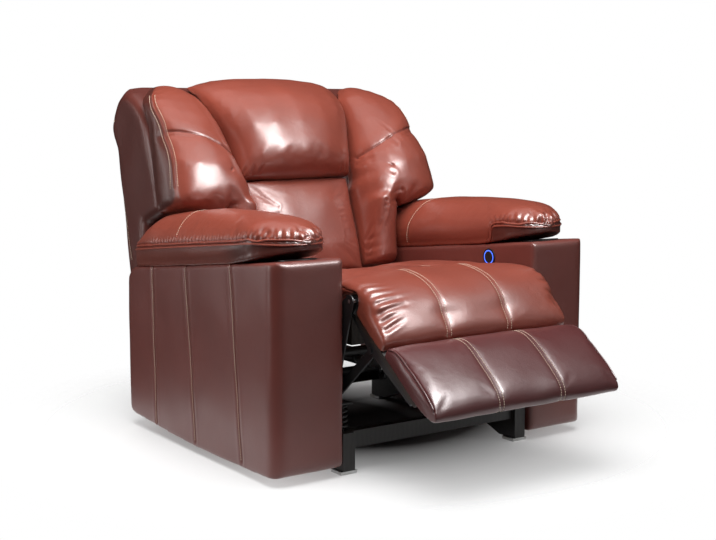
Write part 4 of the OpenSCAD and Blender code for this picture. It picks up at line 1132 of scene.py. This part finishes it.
def waist_outline(_):
    """Side outline of the narrow waist, which has no rise."""
    high = WING_START + 0.03
    under_y = ARM_REAR + SHELL_CLEAR
    return np.array([
        at_back(high, CUSHION_BACK), at_back(high, -BACK_DEPTH * 0.55),
        (under_y + UNDER_FALL, SHELL_FOOT + UNDER_FALL), (under_y + UNDER_FALL / 2, SHELL_FOOT),
        at_back(WAIST_LOW, CUSHION_BACK - UNDER_FALL), at_back(WAIST_LOW, CUSHION_BACK)])


def drawn_in(outline, distance):
    """The outline with each side moved inwards by a distance."""
    ahead = np.roll(outline, -1, 0) - outline
    ahead /= np.linalg.norm(ahead, axis=1, keepdims=True)
    behind = np.roll(ahead, 1, 0)
    inward = np.stack([ahead[:, 1], -ahead[:, 0]], 1)
    inward_behind = np.roll(inward, 1, 0)
    share = 1 + np.einsum("ij,ij->i", ahead, behind)
    return outline + distance * (inward + inward_behind) / share[:, None]


def rounded_slab(name, outline_at, half, edge):
    """A solid between -half and half whose side edges are rounded by edge."""
    turns = [math.radians(a) for a in range(0, 91, 15)]
    stations = [(half - edge * (1 - math.cos(a)), edge * (1 - math.sin(a))) for a in turns]
    stations += [(half * k, 0.0) for k in (0.85, 0.7, 0.5, 0.25, 0.0)]
    stations += [(-x, d) for x, d in reversed(stations[:-1])]
    points = []
    for x, distance in stations:
        rise = SHELL_RISE * float(smooth((half - abs(x)) / (0.11 * half)))
        points += [(x, y, z) for y, z in drawn_in(outline_at(rise), distance)]
    n = len(outline_at(0))
    faces = []
    for i in range(len(stations) - 1):
        for k in range(n):
            faces.append((i * n + k, (i + 1) * n + k, (i + 1) * n + (k + 1) % n, i * n + (k + 1) % n))
    faces.append(tuple(range(n)))
    faces.append(tuple((len(stations) - 1) * n + k for k in range(n - 1, -1, -1)))
    piece = mesh_piece(name, points, faces)
    tidy = bmesh.new()
    tidy.from_mesh(piece.data)
    bmesh.ops.recalc_face_normals(tidy, faces=tidy.faces)
    tidy.to_mesh(piece.data)
    tidy.free()
    return piece


def shell_piece():
    wide = remeshed(rounded_slab("back_panel", shell_outline, BACK_HALF, 0.03), VOXEL)
    skin = Skin(wide).relax(8).ripple(0.13, 0.003, 9.5)
    rows = []
    for x in (-0.2, 0.2):
        line = [skin.cast(back_point(x, mix(0.6, -0.02, share), -0.6), BACK_OUT) for share in shares(60)]
        skin.press(line, 0.009, 0.003, 0.3)
        skin.press(line, 0.003, 0.0015)
        rows += [[p + Vector((s * 0.0075, 0, 0)) for p in line] for s in (-1, 1)]
    for side in (-1, 1):
        edge = []
        for share in shares(60):
            start = back_point(side * 0.7, mix(0.14, 0.6, share), -BACK_DEPTH * 0.86)
            edge.append(skin.cast(start, (-side, 0, 0)))
        skin.press(edge, 0.006, 0.002, 0.2)
        rows.append(edge)
    skin.refresh()
    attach(stitches("back_panel_stitching", skin, rows), "backrest")
    skin.finished()
    waist = remeshed(rounded_slab("back_waist", waist_outline, WAIST_HALF, 0.012), WAIST_VOXEL)
    Skin(waist).relax(4).finished()
    # The shell takes the darker copy of the panel leather, which is painted shade
    for piece in (wide, waist):
        upholstered(piece, "backrest", "back_shell", "shell_leather")


# Springs: the coils stand on the base rails, in the corners at COIL_X and COIL_Y
COIL_X = 0.285
COIL_Y = 0.305
COIL_FOOT = 0.105
COIL_ROOM = 0.07
COIL_WIRE = 0.0025
COIL_RADIUS = 0.013
COIL_GAP = 0.0003
COIL_TURNS = 5
COIL_STEPS = 24
WIRE_COUNT = 4
WIRE_HALF = 0.272
WIRE_RADIUS = 0.0019
WIRE_STEPS = 192
WIRE_SWAY = 0.024
# Half waves along one seat wire. Its sway grows over the first of them and fades over the last
WIRE_WAVES = 32 / 3


def spring_pieces():
    """Upright coils in the rocker's corners, and the zigzag wires under the seat."""
    first = COIL_FOOT + COIL_WIRE + COIL_GAP
    climb = COIL_ROOM - 2 * (COIL_WIRE + COIL_GAP)
    coils = []
    for x in (-COIL_X, COIL_X):
        for y in (-COIL_Y, COIL_Y):
            path = []
            for i in range(COIL_TURNS * COIL_STEPS + 1):
                angle = 2 * math.pi * i / COIL_STEPS
                path.append((x + COIL_RADIUS * math.cos(angle), y + COIL_RADIUS * math.sin(angle),
                             first + climb * i / (COIL_TURNS * COIL_STEPS)))
            coils.append(tube("coil", path, COIL_WIRE, 10))
    springs = dress(joined("rocker_coils", coils), "black_steel")
    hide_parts("rocker_springs")
    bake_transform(springs)
    low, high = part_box("seat_springs")
    wires = []
    for k in range(WIRE_COUNT):
        middle = mix(-WIRE_HALF, WIRE_HALF, (k + 0.5) / WIRE_COUNT)
        path = []
        for share in shares(WIRE_STEPS):
            sway = WIRE_SWAY * math.sin(math.pi * WIRE_WAVES * share)
            sway *= float(smooth(share * WIRE_WAVES) * smooth((1 - share) * WIRE_WAVES))
            y = mix(low.y + 0.001, high.y - 0.001, share)
            path.append((middle + sway, y, (low.z + high.z) / 2))
        wires.append(tube("wire", path, WIRE_RADIUS, 8))
    netting = dress(joined("seat_wires", wires), "zinc")
    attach(netting, "seat_unit")
    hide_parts("seat_springs")


# The nodes that stay get their finish from the record's slots
FINISH = {
    "black_wood": ("base_rail", "base_cross", "rocker_cam"),
    "dark_wood": ("seat_rail", "arm_frame", "legrest_board", "back_uprights", "back_rail"),
    "zinc": ("foot_glides", "base_bolts", "pivot_pins", "legrest_actuator_rod", "recline_actuator_rod",
             "legrest_motor", "recline_motor"),
    "nylon": ("wear_strips",),
    "black_plastic": ("cup_holder", "switch_b", "legrest_actuator", "recline_actuator", "control_box"),
    "light_ring": ("switch_light_ring",),
}


def finish_of(name):
    for finish, starts in FINISH.items():
        if name.startswith(starts):
            return finish
    return "black_steel"


def carried_over_nodes():
    for name, node in nodes.items():
        for slot in node.material_slots:
            slot.material = MATERIALS[finish_of(name)]


# Studio
CAMERA_PLACE = (-2.0734, -2.9297, 0.9223)
CAMERA_TURN = math.radians(-35)
CAMERA_DIP = math.radians(6.405)
CAMERA_LENS = 64.98
IMAGE_WIDTH = 716
CAMERA_SHIFT = -21.6 / IMAGE_WIDTH


def camera_piece():
    camera = bpy.data.cameras.new("camera")
    holder = linked("camera", camera)
    bpy.context.scene.camera = holder
    camera.sensor_width = 36
    camera.lens = CAMERA_LENS
    camera.shift_y = CAMERA_SHIFT
    flat = math.cos(CAMERA_DIP)
    back = Vector((math.sin(CAMERA_TURN) * flat, -math.cos(CAMERA_TURN) * flat, math.sin(CAMERA_DIP)))
    holder.location = CAMERA_PLACE
    holder.rotation_euler = back.to_track_quat("Z", "Y").to_euler()


def softbox(name, place, target, size, power, shine=True, fill=True):
    lamp = bpy.data.lights.new(name, "AREA")
    lamp.shape = "RECTANGLE"
    lamp.size, lamp.size_y = size
    lamp.energy = power
    holder = linked(name, lamp)
    holder.location = place
    holder.rotation_euler = (Vector(place) - Vector(target)).to_track_quat("Z", "Y").to_euler()
    holder.visible_glossy = shine
    holder.visible_diffuse = fill


FLOOR_RINGS = 24
FLOOR_SIDES = 96
FLOOR_RADIUS = 3.6
FLOOR_COLOUR = (0.92, 0.92, 0.92, 1)
FLOOR_BOUNCE = (0.2, 0.19, 0.19, 1)
FLOOR_FADE = (0.36, 1.1)
FLOOR_CENTRE = (0.08, 0.16, 0)
# The floor under the seat is painted nearly black: a painted contact shadow
PAINTED_SHADOW_COLOUR = (0.05, 0.045, 0.045, 1)
PAINTED_SHADOW_STRETCH = (1 / 0.4, 1 / 0.6, 0)
PAINTED_SHADOW_CENTRE = (0, 0.25, 0)
PAINTED_SHADOW_FADE = (0.5, 1.05)
WALL_COLOUR = (0.02, 0.02, 0.02, 1)
WALL_SIDES = 64
WALL_FOOT = -0.05
WALL_RADIUS = 4.2
WALL_TOP = 2.4
ROOF_RADIUS = 2.0
ROOF_TOP = 3.6


def stage_material(name, roughness):
    material = bpy.data.materials.new(name)
    material.use_nodes = True
    shader = material.node_tree.nodes["Principled BSDF"]
    shader.inputs["Roughness"].default_value = roughness
    return material, material.node_tree, shader


def background_seen(tree):
    """1 for the rays that show the background: camera, glossy and transmission rays."""
    rays = add_node(tree, "ShaderNodeLightPath")
    seen = math_node(tree, "MAXIMUM", rays.outputs["Is Camera Ray"], rays.outputs["Is Glossy Ray"])
    return math_node(tree, "MAXIMUM", seen, rays.outputs["Is Transmission Ray"])


def distance_from(tree, place, centre):
    links = [(0, place), (1, centre)]
    return add_node(tree, "ShaderNodeVectorMath", links, operation="DISTANCE").outputs["Value"]


def on_circle(radius, share, z):
    angle = 2 * math.pi * share
    return (radius * math.cos(angle), radius * math.sin(angle), z)


def floor_piece():
    """A round white floor with a painted shadow, nearly black, under the seat, that fades out and throws
    little light back up.
    """
    points = [(0, 0, 0)]
    for r in range(1, FLOOR_RINGS + 1):
        points += [on_circle(FLOOR_RADIUS * r / FLOOR_RINGS, k / FLOOR_SIDES, 0) for k in range(FLOOR_SIDES)]
    faces = [(0, 1 + k, 1 + (k + 1) % FLOOR_SIDES) for k in range(FLOOR_SIDES)]
    for start in range(1, 1 + (FLOOR_RINGS - 1) * FLOOR_SIDES, FLOOR_SIDES):
        for k in range(FLOOR_SIDES):
            a, b = start + k, start + (k + 1) % FLOOR_SIDES
            faces.append((a, a + FLOOR_SIDES, b + FLOOR_SIDES, b))
    floor = mesh_piece("floor", points, faces)
    material, tree, shader = stage_material("studio_floor", 0.8)
    shader.inputs["Specular IOR Level"].default_value = 0.1
    pale = blend_colour(tree, background_seen(tree), FLOOR_BOUNCE, FLOOR_COLOUR)
    place = add_node(tree, "ShaderNodeTexCoord").outputs["Object"]
    # Painted shadow: an oval under the seat where the floor's colour goes nearly black
    inside = add_node(tree, "ShaderNodeVectorMath", [(0, place), (1, PAINTED_SHADOW_STRETCH)], operation="MULTIPLY")
    under = distance_from(tree, inside.outputs["Vector"], PAINTED_SHADOW_CENTRE)
    out_of_painted_shadow = span(tree, under, *PAINTED_SHADOW_FADE)
    feed(tree, shader, Base_Color=blend_colour(tree, out_of_painted_shadow, PAINTED_SHADOW_COLOUR, pale),
         Alpha=span(tree, distance_from(tree, place, FLOOR_CENTRE), *FLOOR_FADE, 1.0, 0.0))
    floor.data.materials.append(material)


def dark_screen():
    """A dark wall and roof round the white floor, unseen by the camera, that the leather reflects."""
    profile = ((FLOOR_FADE[1], WALL_FOOT), (WALL_RADIUS, WALL_FOOT), (WALL_RADIUS, WALL_TOP / 2),
               (WALL_RADIUS, WALL_TOP), (ROOF_RADIUS, ROOF_TOP))
    n = len(profile)
    points = []
    faces = []
    for k in range(WALL_SIDES):
        points += [on_circle(reach, k / WALL_SIDES, z) for reach, z in profile]
        a, b = n * k, n * ((k + 1) % WALL_SIDES)
        faces += [(a + r, b + r, b + r + 1, a + r + 1) for r in range(n - 1)]
    wall = mesh_piece("studio_wall", points, faces)
    material, _, shader = stage_material("dark_wall", 0.9)
    shader.inputs["Base Color"].default_value = WALL_COLOUR
    wall.data.materials.append(material)
    wall.visible_camera = False


def world_light():
    """White behind the object, and a dim even light on it."""
    world = bpy.data.worlds.new("studio")
    bpy.context.scene.world = world
    world.use_nodes = True
    tree = world.node_tree
    seen = tree.nodes["Background"]
    seen.inputs["Color"].default_value = (1, 1, 1, 1)
    seen.inputs["Strength"].default_value = 1.0
    dim = add_node(tree, "ShaderNodeBackground", [("Color", (1, 1, 1, 1)), ("Strength", 0.6)])
    shown = background_seen(tree)
    join = add_node(tree, "ShaderNodeMixShader", [(0, shown), (1, dim.outputs[0]), (2, seen.outputs[0])])
    tree.links.new(join.outputs[0], tree.nodes["World Output"].inputs["Surface"])


def studio():
    bpy.context.scene.view_settings.view_transform = "Standard"
    camera_piece()
    floor_piece()
    dark_screen()
    world_light()
    softbox("top_softbox", (-0.6, -0.6, 3.0), (0, 0, 0), (2.4, 2.4), 122, shine=False)
    softbox("front_bank", (0.15, -1.75, 2.25), (0, 0.25, 0.75), (1.3, 0.95), 150, fill=False)
    softbox("left_strip", (-2.8, 0.85, 0.95), (0, 0, 0.5), (0.7, 1.5), 18)
    softbox("low_bank", (0.6, -1.85, 1.8), (0, 0.1, 0.65), (0.6, 0.6), 28, fill=False)
    softbox("side_glint", (-2.0, 1.9, 0.9), (-0.5, -0.4, 0.4), (0.3, 1.7), 6, fill=False)
    softbox("rear_fill", (0.6, 3.0, 1.5), (0, 0.4, 0.6), (1.4, 1.2), 26, shine=False)
    softbox("right_fill", (2.2, -2.4, 1.0), (0, 0, 0.4), (1.2, 1.2), 14, shine=False)


carried_over_nodes()
seat_piece()
calf_piece()
foot_piece()
head_piece()
lumbar_piece()
for bolster, (sign, hand) in zip(bolsters, SIDES):
    bolster_piece(bolster, sign, "bolster_" + hand)
for pad, (sign, hand) in zip(arm_pads, SIDES):
    arm_pad_piece(pad, sign, "arm_pad_" + hand)
for sign, hand in SIDES:
    arm_piece(sign, "arm_cover_" + hand)
shell_piece()
spring_pieces()
studio()
